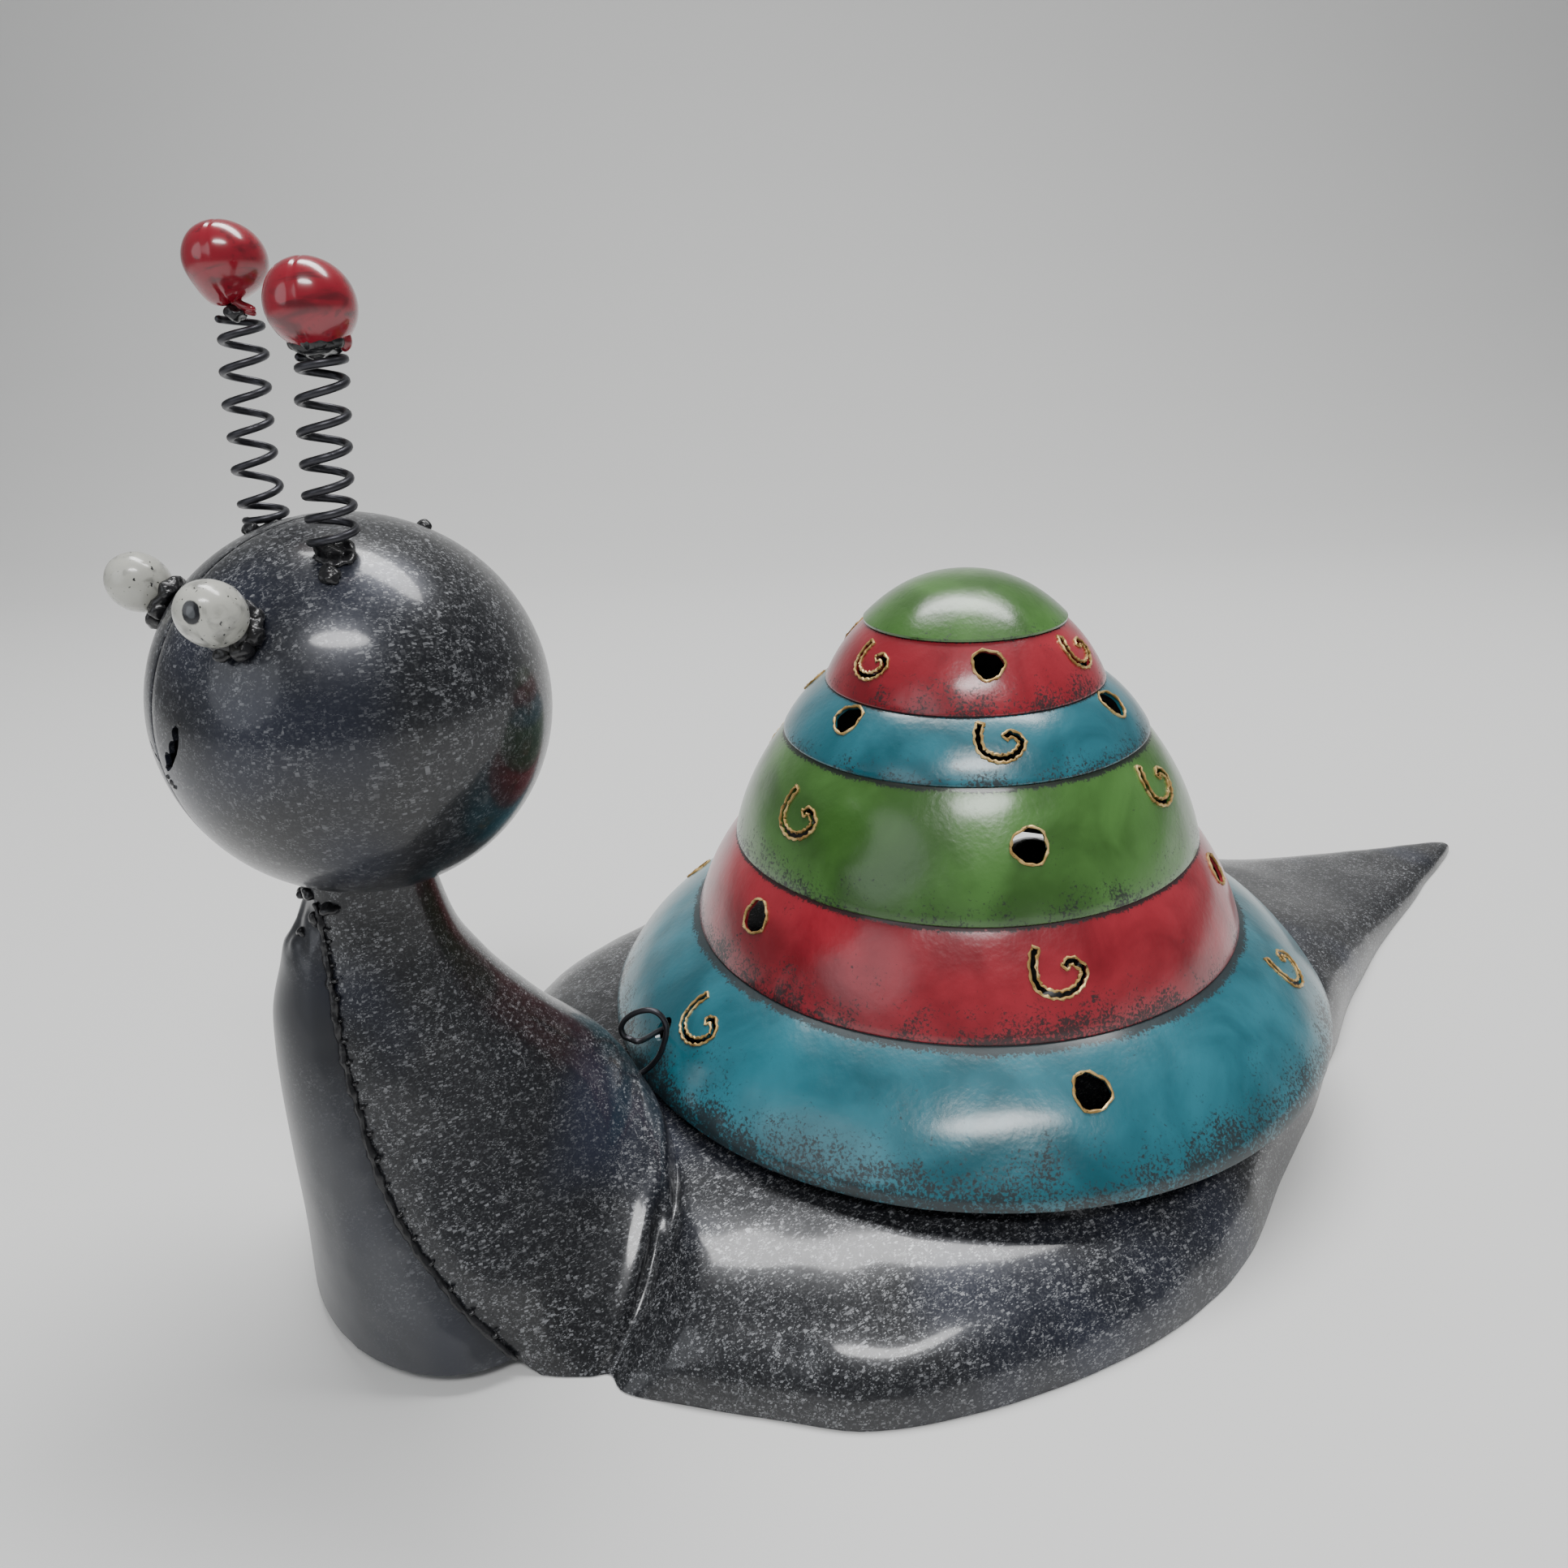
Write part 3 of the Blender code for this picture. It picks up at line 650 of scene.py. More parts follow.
@dataclass(frozen=True)
class BandEnamel(Finish):
    """Bright enamel on one band of the shell, sponged darker towards its lower edge, with painted shade in
    the groove at its top.
    """

    low: float = 0.0
    high: float = 1.0
    # how strongly the band is sponged darker towards its lower edge
    lower_darkening: float = 0.62
    reach: float = 0.55

    def paint(self, board: Board, shader: bpy.types.Node, vector: bpy.types.NodeSocket) -> object:
        """Return mottled enamel, sponged darker along the lower lip, with painted shade in the groove at its
        top.

        Args:
            board: The board of the material's nodes.
            shader: The material's Principled node.
            vector: Object coordinates.

        Returns:
            The colour, as a socket.
        """
        parts = board.add("ShaderNodeSeparateXYZ")
        board.feed(parts.inputs[0], vector)
        low, high = ((RIM_HEIGHT + level) * MM for level in (self.low, self.high))
        span = high - low
        mottle = board.ramp(board.noise(vector, 75.0, 4.0, 0.5), 0.3, 0.7)
        deep = tuple(0.62 * value for value in self.colour)
        pale = tuple(min(1.0, 1.18 * value + 0.015) for value in self.colour)
        base = board.blend(mottle, deep, pale)
        foot = board.ramp(parts.outputs["Z"], low - 0.25 * span, low + self.reach * span, 1.0, 0.0)
        # painted shade: the groove under the lip of the band above is darkened
        groove = board.ramp(parts.outputs["Z"], high - 0.09 * span, high, 0.0, 1.0)
        patch = board.ramp(board.noise(vector, 38.0, 2.0), 0.3, 0.6, 0.45, 1.0)
        amount = board.maths("MULTIPLY", board.maths("MULTIPLY", foot, patch), self.lower_darkening)
        amount = board.maths("ADD", board.maths("MAXIMUM", amount, groove), 0.3)
        sponge = board.group(Effects.sponge(), Vector=vector, Amount=amount).outputs["Mask"]
        shade = board.blend(board.maths("MULTIPLY", sponge, 0.9), base, (0.006, 0.007, 0.008))
        dullness = board.ramp(sponge, 0.0, 1.0, self.roughness, self.roughness + 0.25)
        board.feed(shader.inputs["Roughness"], dullness)
        return shade


@dataclass(frozen=True)
class EyeEnamel(Finish):
    """Off-white enamel with smudges and a dabbed oval pupil."""

    pupil: Point = (0.0, 0.0, 0.0)
    width: float = 0.85

    def paint(self, board: Board, shader: bpy.types.Node, vector: bpy.types.NodeSocket) -> object:
        """Return white with grey smudges, the pupil and its paler middle.

        Args:
            board: The board of the material's nodes.
            shader: The material's Principled node.
            vector: Object coordinates.

        Returns:
            The colour, as a socket.
        """
        smudge = board.ramp(board.noise(vector, 380.0, 4.0, 1.2), 0.48, 0.72)
        white = board.blend(board.maths("MULTIPLY", smudge, 0.7), self.colour, (0.14, 0.14, 0.13))
        specks = board.ramp(board.noise(vector, 2100.0, 1.0), 0.68, 0.74)
        white = board.blend(specks, white, (0.03, 0.03, 0.03))
        away = board.add("ShaderNodeMapping", vector_type="POINT")
        board.feed(away.inputs["Vector"], vector)
        spread = (1.0 / (self.width * MM), 1.0 / (self.width * MM), 0.72 / (self.width * MM))
        away.inputs["Scale"].default_value = spread
        away.inputs["Location"].default_value = tuple(-p * s for p, s in zip(self.pupil, spread))
        reach = board.add("ShaderNodeVectorMath", operation="LENGTH")
        board.feed(reach.inputs[0], away.outputs[0])
        ragged = board.maths("ADD", reach.outputs["Value"], board.maths(
            "MULTIPLY", board.noise(vector, 1500.0, 2.0), 0.25))
        dark = board.ramp(ragged, 1.05, 1.22, 1.0, 0.0)
        ring = board.ramp(ragged, 0.55, 0.75, 0.10, 0.0)
        grey = board.blend(board.maths("MULTIPLY", ring, 6.0), (0.012, 0.013, 0.016), (0.13, 0.14, 0.15))
        return board.blend(dark, white, grey)


@dataclass(frozen=True)
class SmudgedEnamel(Finish):
    """Glossy enamel with dark streaks, as on the antenna balls."""

    smudge: Paint = (0.06, 0.006, 0.01)

    def paint(self, board: Board, shader: bpy.types.Node, vector: bpy.types.NodeSocket) -> object:
        """Return the enamel with streaks.

        Args:
            board: The board of the material's nodes.
            shader: The material's Principled node.
            vector: Object coordinates.

        Returns:
            The colour, as a socket.
        """
        stretch = board.add("ShaderNodeMapping")
        board.feed(stretch.inputs["Vector"], vector)
        stretch.inputs["Scale"].default_value = (1.0, 1.0, 3.2)
        streak = board.ramp(board.noise(stretch.outputs[0], 190.0, 4.0, 0.8), 0.5, 0.7)
        specks = board.ramp(board.noise(vector, 900.0, 2.0), 0.6, 0.72)
        soft_streak = board.maths("MULTIPLY", streak, 0.75)
        both = board.maths("MAXIMUM", soft_streak, board.maths("MULTIPLY", specks, 0.5))
        return board.blend(both, self.colour, self.smudge)


@dataclass(frozen=True)
class WornMetal(Finish):
    """Bare or oiled metal with dark and bright wear."""

    worn: Paint = (0.3, 0.3, 0.31)
    scale: float = 420.0

    def paint(self, board: Board, shader: bpy.types.Node, vector: bpy.types.NodeSocket) -> object:
        """Return the metal with worn patches and dark specks.

        Args:
            board: The board of the material's nodes.
            shader: The material's Principled node.
            vector: Object coordinates.

        Returns:
            The colour, as a socket.
        """
        wear = board.ramp(board.noise(vector, self.scale, 4.0, 0.5), 0.42, 0.66)
        base = board.blend(wear, self.colour, self.worn)
        specks = board.ramp(board.noise(vector, self.scale * 4.0, 2.0), 0.6, 0.7)
        dullness = board.ramp(wear, 0.0, 1.0, self.roughness + 0.12, self.roughness)
        board.feed(shader.inputs["Roughness"], dullness)
        return board.blend(board.maths("MULTIPLY", specks, 0.8), base, (0.01, 0.01, 0.011))


@dataclass(frozen=True)
class LumpyPaint(Finish):
    """Thick black paint over weld metal."""

    def relief(self, board: Board, vector: bpy.types.NodeSocket) -> bpy.types.NodeSocket:
        """Return coarse lumps with a fine grain on them.

        Args:
            board: The board of the material's nodes.
            vector: Object coordinates.

        Returns:
            The height, as a socket.
        """
        fine = board.maths("MULTIPLY", board.noise(vector, 3000.0, 2.0), 0.3)
        return board.maths("ADD", board.noise(vector, 800.0, 3.0), fine)


@dataclass(frozen=True)
class Galvanised(Finish):
    """Plain zinc with its spangle."""

    def paint(self, board: Board, shader: bpy.types.Node, vector: bpy.types.NodeSocket) -> object:
        """Return zinc grains in two greys with soot specks.

        Args:
            board: The board of the material's nodes.
            shader: The material's Principled node.
            vector: Object coordinates.

        Returns:
            The colour, as a socket.
        """
        cells = board.add("ShaderNodeTexVoronoi", feature="F1")
        board.feed(cells.inputs["Vector"], vector)
        cells.inputs["Scale"].default_value = 260.0
        tone = board.add("ShaderNodeSeparateColor")
        board.feed(tone.inputs[0], cells.outputs["Color"])
        shade = board.blend(tone.outputs[0], self.colour, tuple(0.6 * value for value in self.colour))
        soot = board.ramp(board.noise(vector, 150.0, 5.0), 0.52, 0.75)
        return board.blend(board.maths("MULTIPLY", soot, 0.7), shade, (0.03, 0.028, 0.026))


SKIN_PAINT = FleckedPaint("charcoal_lacquer", "black_paint", (0.010, 0.011, 0.014), 0.33, 0.25, 0.5, 0.4, 0.6,
    cover=0.80)
CHEST_PAINT = FleckedPaint(
    "chest_lacquer", "grey_paint", (0.060, 0.063, 0.072), 0.38, 0.4, 0.3, 0.3, 0.4,
    fleck=(0.30, 0.31, 0.33), cover=0.5)
WELD_PAINT = LumpyPaint("weld_paint", "weld_black", (0.012, 0.012, 0.014), 0.36, 0.2, 0.4, 0.8, 0.25)
# the shell's inside faces are painted near-black
INSIDE_BLACK = LumpyPaint("black_inside", "shell_enamel", (0.008, 0.008, 0.008), 0.8, 0.0, 0.0, 0.4, 0.2)
BARE_EDGE = WornMetal(
    "bare_edge", "shell_enamel", (0.36, 0.22, 0.07), 0.38, 0.55, 0.0, 0.6, 0.1,
    worn=(0.78, 0.56, 0.24))
WIRE_STEEL = WornMetal(
    "dark_wire", "dark_wire", (0.045, 0.046, 0.05), 0.28, 0.85, 0.0, 0.4, 0.06,
    worn=(0.2, 0.2, 0.21))
BALL_ENAMEL = SmudgedEnamel("crimson_enamel", "antenna_red", (0.27, 0.007, 0.020), 0.25, 0.0, 0.8, 0.4, 0.2)
CUP_ZINC = Galvanised("cup_zinc", "cup_steel", (0.42, 0.43, 0.44), 0.34, 0.85, 0.0, 0.2, 0.1)
GREEN: Paint = (0.050, 0.150, 0.022)
RED: Paint = (0.29, 0.007, 0.018)
TEAL: Paint = (0.008, 0.125, 0.165)


# ---------------------------------------------------------------- shell

@dataclass(frozen=True)
class Band:
    """One pressed tier of the shell, as radii and heights above the rim."""

    name: str
    colour: Paint
    top_radius: float
    top: float
    low_radius: float
    low: float
    bulge: float
    # how strongly the band is sponged darker towards its lower edge
    lower_darkening: float = 0.62
    reach: float = 0.55

    def surface(self, share: float) -> tuple[Vector, Vector]:
        """Return the outer face's (radius, height) and outward direction at a share of the way down."""
        start = Vector((self.top_radius, self.top))
        run = Vector((self.low_radius + 0.56, self.low + (0.16 if self.low else 0.0))) - start
        out = Vector((-run.y, run.x)).normalized()
        slope = 4.0 * self.bulge * (1.0 - 2.0 * share) / run.length
        point = start + run * share + out * 4.0 * self.bulge * share * (1.0 - share)
        return point, (out - run.normalized() * slope).normalized()

    def section(self) -> list[tuple[float, float]]:
        """Return the closed wall section: outer face, rolled lip, inner face, tucked top."""
        steps = 16
        outer = [self.surface(k / steps) for k in range(steps + 1)]
        wall: list[Vector] = [outer[0][0] + Vector((-0.3, 0.8))]
        wall += [point for point, out in outer[:-1]]
        end, out = outer[-1]
        along = Vector((out.y, -out.x))
        middle = end - out * SHEET / 2
        for k in range(7):
            turn = math.pi * k / 6
            wall.append(middle + out * math.cos(turn) * SHEET / 2 + along * math.sin(turn) * SHEET / 2)
        wall += [point - out * SHEET for point, out in reversed(outer[:-1])]
        wall.append(outer[0][0] + Vector((-0.8, 0.9)))
        if not self.low:
            wall = [Vector((min(point.x, 60.0), max(point.y, 0.0))) for point in wall]
        return [(point.x, point.y) for point in wall]

    def on_face(self, share: float, azimuth: float, lift: float = 0.0) -> tuple[Vector, Vector]:
        """Return a point in metres on the outer face, and the outward direction there.

        Args:
            share: How far down the band.
            azimuth: Degrees round from the snail's left side.
            lift: Distance off the face in millimetres.

        Returns:
            The point and the direction.
        """
        point, out = self.surface(share)
        turn = math.radians(azimuth)
        around = Vector((math.cos(turn), math.sin(turn), 0.0))
        normal = around * out.x + UP * out.y
        origin = place(0.0, 0.0, RIM_HEIGHT) + (around * point.x + UP * point.y) * MM
        return origin + normal * lift * MM, normal

    def mapped(self, spot: Vector, share: float, azimuth: float, lift: float = 0.0) -> tuple[Vector, Vector]:
        """Wrap a point of a flat pattern onto the outer face.

        Args:
            spot: The point, in millimetres right and up.
            share: How far down the band the pattern's middle is.
            azimuth: Degrees round to the pattern's middle.
            lift: Distance off the face in millimetres.

        Returns:
            The point in metres and the outward direction there.
        """
        length = math.hypot(self.low_radius - self.top_radius, self.low - self.top)
        down = share - spot.y / length
        radius = self.surface(down)[0].x
        return self.on_face(down, azimuth + math.degrees(spot.x / radius), lift)


BANDS = (
    Band("red_upper", RED, 15.0, 63.4, 21.4, 54.1, 0.7, 0.5, 0.8),
    Band("teal_upper", TEAL, 21.4, 54.1, 28.4, 46.3, 0.7, 0.5, 0.6),
    Band("green_lower", GREEN, 28.4, 46.3, 37.1, 29.1, 1.2, 0.55, 0.5),
    Band("red_lower", RED, 37.1, 29.1, 44.3, 14.9, 0.9, 0.58, 0.7),
    Band("teal_lower", TEAL, 44.3, 14.9, 60.0, 0.0, 1.9, 0.66, 0.8),
)


@dataclass
class Shell:
    """The tiered dome that tilts up: a cap, five bands and the cut edges of its piercings."""

    cap_radius: float = 15.8
    cap_height: float = 63.5
    cap_rise: float = 6.8
    columns: tuple[tuple[tuple[float, float], ...], ...] = (
        ((-84.0, 0.45), (-82.0, 0.32), (-83.0, 0.45), (-86.0, 0.40), (-85.0, 0.40)),
        ((-27.0, 0.37), (-26.0, 0.42), (-22.0, 0.46), (-19.0, 0.43), (-18.0, 0.35)),
        ((27.0, 0.42), (28.0, 0.30), (25.0, 0.30), (40.0, 0.35), (38.0, 0.40)),
        ((92.0, 0.42), (95.0, 0.38), (93.0, 0.40), (97.0, 0.42), (96.0, 0.38)),
        ((151.0, 0.40), (149.0, 0.42), (157.0, 0.45), (155.0, 0.38), (158.0, 0.42)),
        ((-146.0, 0.42), (-143.0, 0.36), (-144.0, 0.38), (-147.0, 0.42), (-145.0, 0.40)),
    )
    scales: tuple[float, ...] = (0.8, 0.85, 1.0, 1.0, 1.0)
    kerf: float = 1.05
    hinge_hole: Point = (-1.6, 55.8, 23.0)
    hinge_hole_radius: float = 1.5
    steps: int = 120

    def build(self) -> None:
        """Build the cap, the bands and the burrs."""
        self.build_cap()
        burrs: list[bmesh.types.BMesh] = []
        for row, band in enumerate(BANDS):
            self.build_band(row, band, burrs)
        fit(add_object("piercing_burrs", merged(burrs)), BARE_EDGE, "shell", ("shell",))

    def enamel(self, band: Band) -> BandEnamel:
        """Return the enamel of a band."""
        return BandEnamel(
            "enamel_" + band.name, "shell_enamel", band.colour, 0.3, 0.0, 0.6, 0.8, 0.9,
            coat_roughness=0.16, low=band.low, high=band.top, lower_darkening=band.lower_darkening, reach=band.reach)

    def outlines(self, row: int) -> Iterator[tuple[float, float, list[Vector]]]:
        """Yield the azimuth, share and flat outline of each piercing in a row."""
        for column, places in enumerate(self.columns):
            azimuth, share = places[row]
            kind = Piercing.HOOK if (row + column) % 2 == 0 else Piercing.HOLE
            if kind is Piercing.HOOK:
                yield azimuth, share, self.hook(self.scales[row], column + 5.0 * row)
            else:
                yield azimuth, share, self.hole(self.scales[row], column + 5.0 * row)

    def hook(self, scale: float, seed: float) -> list[Vector]:
        """Return the outline of an open G: a tail, a bowl and an end curled inwards."""
        knots = [(-2.7, 3.5), (-3.5, 1.5)]
        for i in range(6):
            turn = math.radians(200.0 + 32.0 * i)
            knots.append((3.6 * math.cos(turn) - 0.1, 2.9 * math.sin(turn) - 0.2))
        knots += [(1.9, 1.2), (0.8, 0.4)]
        line = [Vector(spot) * scale for spot in catmull(knots, 5)]
        edges: tuple[list[Vector], list[Vector]] = ([], [])
        for i, spot in enumerate(line):
            along = (line[min(i + 1, len(line) - 1)] - line[max(i - 1, 0)]).normalized()
            across = Vector((-along.y, along.x))
            for edge, hand in zip(edges, (1.0, -1.0)):
                scallop = 0.10 * math.sin(2.1 * i + seed + hand)
                edge.append(spot + across * hand * (self.kerf / 2 + scallop))
        return edges[0] + edges[1][::-1]

    def hole(self, scale: float, seed: float) -> list[Vector]:
        """Return the outline of a punched hole, a little out of round."""
        outline = []
        for k in range(28):
            turn = 2.0 * math.pi * k / 28
            wobble = 1.0 + 0.06 * math.sin(3.0 * turn + seed) + 0.035 * math.sin(7.0 * turn + 2.0 * seed)
            outline.append(Vector((math.cos(turn), math.sin(turn))) * 2.6 * math.sqrt(scale) * wobble)
        return outline

    def build_cap(self) -> None:
        """Build the green cap with its rolled edge."""
        steps = 18
        outer = []
        for k in range(steps + 1):
            share = k / steps
            outer.append((self.cap_radius * share, self.cap_height + self.cap_rise * (1.0 - share ** 2.3)))
        lip = [(self.cap_radius - 0.05, self.cap_height - 0.35),
               (self.cap_radius - 0.45, self.cap_height - 0.45)]
        inner = [(radius * 0.95, height - SHEET) for radius, height in reversed(outer)]
        shape = spun(outer + lip + inner, self.steps, closed=False)
        peak = self.cap_height + self.cap_rise + 3.0
        cap = Band("green_cap", GREEN, 0.0, peak, 15.0, self.cap_height - 0.4, 0.0, 0.34, 0.35)
        self.dress("shell_cap", shape, self.enamel(cap), ())

    def build_band(self, row: int, band: Band, burrs: list[bmesh.types.BMesh]) -> None:
        """Build one band and collect the burrs of its piercings.

        Args:
            row: The band's place, from the top.
            band: Its sizes.
            burrs: The list that the burrs are added to.
        """
        shape = spun(band.section(), self.steps, closed=True)
        tools = []
        for azimuth, share, outline in self.outlines(row):
            rings = []
            for lift in (-2.2, 1.8):
                ring = [band.mapped(spot, share, azimuth, lift)[0] for spot in outline]
                rings.append(ring + ring[:1])
            tool = lay_grid(rings)
            close_holes(tool)
            tools.append(tool)
            faces = [band.mapped(spot, share, azimuth, 0.03) for spot in outline]
            path = [point for point, normal in faces]
            beads = len(path) / 2.6
            burrs.append(tube(
                path, lambda along: 0.21 + 0.06 * math.sin(2.0 * math.pi * beads * along),
                sides=6, lump=0.1, grain=0.9, closed=True, ups=[normal for point, normal in faces]))
        if not band.low:
            tools.append(self.hinge_cutter())
        self.dress("shell_band_" + band.name, shape, self.enamel(band), tools)

    def hinge_cutter(self) -> bmesh.types.BMesh:
        """Return the round cutter of the hole that the hinge ring passes through."""
        shape = bmesh.new()
        turn = Matrix.Translation(place(*self.hinge_hole)) @ Matrix.Rotation(math.pi / 2, 4, "X")
        size = self.hinge_hole_radius * MM
        bmesh.ops.create_cone(
            shape, cap_ends=True, segments=24, radius1=size, radius2=size, depth=8.0 * MM, matrix=turn)
        return shape

    def dress(
        self, name: str, shape: bmesh.types.BMesh, enamel: BandEnamel, tools: Sequence[bmesh.types.BMesh],
    ) -> None:
        """Set a turned band on the axis, beat it slightly uneven, cut it and paint both its faces.

        Args:
            name: The piece's name.
            shape: The turned band, about the origin.
            enamel: The enamel of its outer face.
            tools: Closed shapes that are cut out of it.
        """
        bmesh.ops.translate(shape, verts=shape.verts, vec=place(0.0, 0.0, RIM_HEIGHT))
        shape.normal_update()
        axis = place(0.0, 0.0, 0.0)
        for vert in shape.verts:
            out = Vector((vert.co.x - axis.x, vert.co.y - axis.y, 0.0))
            if out.length > 1e-6:
                vert.co += out.normalized() * (0.16 * lumps(vert.co, 14.0) - 0.06) * MM
        for face in shape.faces:
            # faces that look inwards get the near-black inside paint
            centre = face.calc_center_median() - axis
            face.material_index = int(face.normal.dot(Vector((centre.x, centre.y, 0.02))) < 0.0)
        made = add_object(name, shape)
        for finish in (enamel, INSIDE_BLACK, BARE_EDGE):
            made.data.materials.append(finish.material())
        if tools:
            carve(made, merged(list(tools)), index=2)
        fit(made, enamel, "shell", ("shell",))


# ---------------------------------------------------------------- body

@dataclass
class Body:
    """The beaten skin from neck to tail, the chest plate and the welds between them."""

    # Neck sections: ridge forward and height, edge side, forward and height, ridge reach, edge handle.
    neck: tuple = (
        (85.6, 64.5, 3.2, 99.7, 64.5, 7.6, (6.5, -4.0, 0.0)),
        (84.9, 58.5, 4.1, 100.0, 59.5, 7.8, (6.5, -4.0, 0.0)),
        (83.3, 52.0, 5.9, 100.2, 53.0, 8.4, (6.4, -4.8, 0.0)),
        (80.7, 47.0, 7.6, 100.7, 47.5, 9.0, (6.2, -5.8, 0.0)),
        (77.5, 42.0, 9.5, 101.0, 41.8, 9.8, (6.0, -7.0, 0.2)),
        (73.0, 36.0, 12.4, 100.6, 33.3, 11.0, (5.6, -8.6, 0.6)),
        (70.0, 32.8, 14.6, 100.4, 27.0, 12.2, (5.3, -9.8, 1.2)),
        (67.6, 30.2, 17.0, 99.2, 21.0, 13.4, (5.0, -10.4, 2.2)),
        (65.8, 28.0, 20.0, 96.8, 14.8, 14.6, (4.4, -10.2, 4.2)),
        (64.4, 26.0, 23.0, 94.0, 9.0, 15.6, (3.8, -8.6, 6.6)),
        (63.3, 24.0, 26.3, 89.8, 2.0, 16.4, (3.2, -6.2, 9.0)),
    )
    # Shoulder sections: the same, with the ridge handle written out.
    shoulder: tuple = (
        (62.5, 22.0, 30.0, 86.0, 0.0, (17.5, -0.8, 1.6), (1.6, -6.6, 7.6)),
        (61.9, 19.6, 31.8, 83.6, 0.0, (18.2, -1.4, 4.0), (-0.2, -8.4, 6.0)),
        (61.3, 16.8, 33.4, 81.4, 0.0, (19.0, -2.2, 7.0), (-3.4, -8.4, 4.4)),
        (60.5, 14.0, 36.4, 80.2, 0.0, (20.0, -2.4, 1.6), (-1.6, -6.2, 7.4)),
    )
    # Back, flanks and tail: ridge forward and height, hem side and forward.
    back: tuple = (
        (57.5, 13.7, 41.1, 74.6), (51.5, 14.1, 48.4, 66.6), (44.5, 14.6, 56.2, 57.4),
        (36.0, 15.2, 60.7, 46.6),
        (26.0, 15.5, 63.9, 33.0), (14.0, 15.5, 65.2, 19.0), (2.0, 15.5, 64.2, 6.0), (-9.0, 15.4, 60.9, -5.0),
        (-20.0, 15.3, 55.6, -16.0), (-32.0, 15.1, 50.2, -28.5), (-44.0, 14.9, 44.4, -41.0),
        (-57.0, 13.9, 37.8, -54.0), (-70.0, 11.6, 31.0, -67.0), (-83.0, 9.0, 25.4, -80.0),
        (-95.0, 6.6, 20.0, -93.0),
        (-107.0, 4.9, 15.8, -105.0), (-118.0, 3.7, 11.9, -116.8), (-129.0, 2.9, 7.9, -128.3),
        (-137.5, 2.3, 4.8, -137.2), (-143.0, 1.8, 2.7, -142.8), (-146.0, 1.3, 1.4, -145.8),
    )
    # Chest plate rows: height, forward at the middle, edge side and forward.
    chest: tuple = (
        (64.5, 99.6, 3.1, 99.5), (60.4, 100.3, 3.9, 100.0), (57.0, 102.2, 4.8, 99.9),
        (54.2, 104.3, 5.6, 100.1),
        (51.0, 105.4, 6.7, 100.4), (46.0, 107.1, 8.2, 100.8), (41.0, 107.9, 9.8, 101.0),
        (35.5, 108.4, 11.7, 100.7),
        (29.0, 108.7, 14.0, 100.4), (22.0, 109.0, 16.6, 99.4), (15.4, 109.3, 19.6, 97.1),
        (8.8, 109.7, 23.0, 94.0),
        (2.6, 110.2, 26.2, 90.1),
    )
    pleat: tuple[Point, ...] = (
        (33.4, 81.2, 0.0), (33.0, 77.5, 3.0), (30.0, 74.0, 6.0), (26.6, 70.7, 9.0),
        (22.5, 66.7, 14.0), (21.5, 63.3, 18.0))
    dents: tuple[tuple[Point, float, float], ...] = (
        ((48.4, 61.1, 7.1), 1.0, 0.9), ((61.0, 32.8, 6.4), 1.3, 1.0), ((63.0, 8.0, 8.0), 2.6, 0.5),
        ((-58.0, 40.0, 6.5), 1.6, 0.8), ((40.0, -48.0, 7.0), 3.0, 0.5), ((19.5, 84.0, 30.0), 5.0, 0.5),
        ((-35.0, -47.0, 11.5), 9.0, -4.6), ((24.0, 74.0, 20.0), 3.5, 0.6), ((52.0, 50.0, 13.0), 5.0, 0.5))
    floor_trim: float = 1.0
    head_clear: float = 20.5

    def sections(self) -> list[list[Vector]]:
        """Return the skin's rows of control points, drawn smoothly from neck to tail."""
        rows: list[list[float]] = []
        for ridge_f, ridge_h, side, forward, height, reach, hand in self.neck:
            rows.append([0.0, ridge_f, ridge_h, reach, ridge_f, ridge_h,
                         side + hand[0], forward + hand[1], height + hand[2], side, forward, height])
        for ridge_f, ridge_h, side, forward, height, reach, hand in self.shoulder:
            rows.append([0.0, ridge_f, ridge_h, reach[0], ridge_f + reach[1], ridge_h + reach[2],
                         side + hand[0], forward + hand[1], height + hand[2], side, forward,
                         height - self.floor_trim])
        for ridge_f, ridge_h, side, forward in self.back:
            lean = forward - ridge_f
            rows.append([0.0, ridge_f, ridge_h, 0.76 * side, ridge_f + 0.25 * lean, ridge_h,
                         0.985 * side, ridge_f + 0.97 * lean, 0.86 * ridge_h, side, forward,
                         -self.floor_trim])
        return [[place(*row[k:k + 3]) for k in (0, 3, 6, 9)] for row in catmull(rows, 6)]

    def build(self) -> None:
        """Build the skin, the chest plate and the welds."""
        self.build_skin()
        self.build_chest()
        self.build_seams()
        self.build_neck_lumps()

    def fold(self, point: Vector, hand: float) -> float:
        """Return how far the pleat pushes a point of the skin outwards.

        Args:
            point: The point in metres.
            hand: 1 on the snail's left side and -1 on its right.

        Returns:
            The push in millimetres.
        """
        line = [place(hand * side, forward, height) for side, forward, height in self.pleat]
        nearest = min(self.to_span(point, a, b) for a, b in zip(line, line[1:])) / MM
        fade = min(max(point.z / MM / 5.0, 0.0), 1.0)
        return fade * (0.4 * math.exp(-((nearest - 2.0) / 1.2) ** 2) - 0.7 * math.exp(-(nearest / 0.7) ** 2))

    @staticmethod
    def to_span(point: Vector, start: Vector, end: Vector) -> float:
        """Return the distance from a point to a straight span."""
        run = end - start
        share = min(max((point - start).dot(run) / run.length_squared, 0.0), 1.0)
        return (start + run * share - point).length

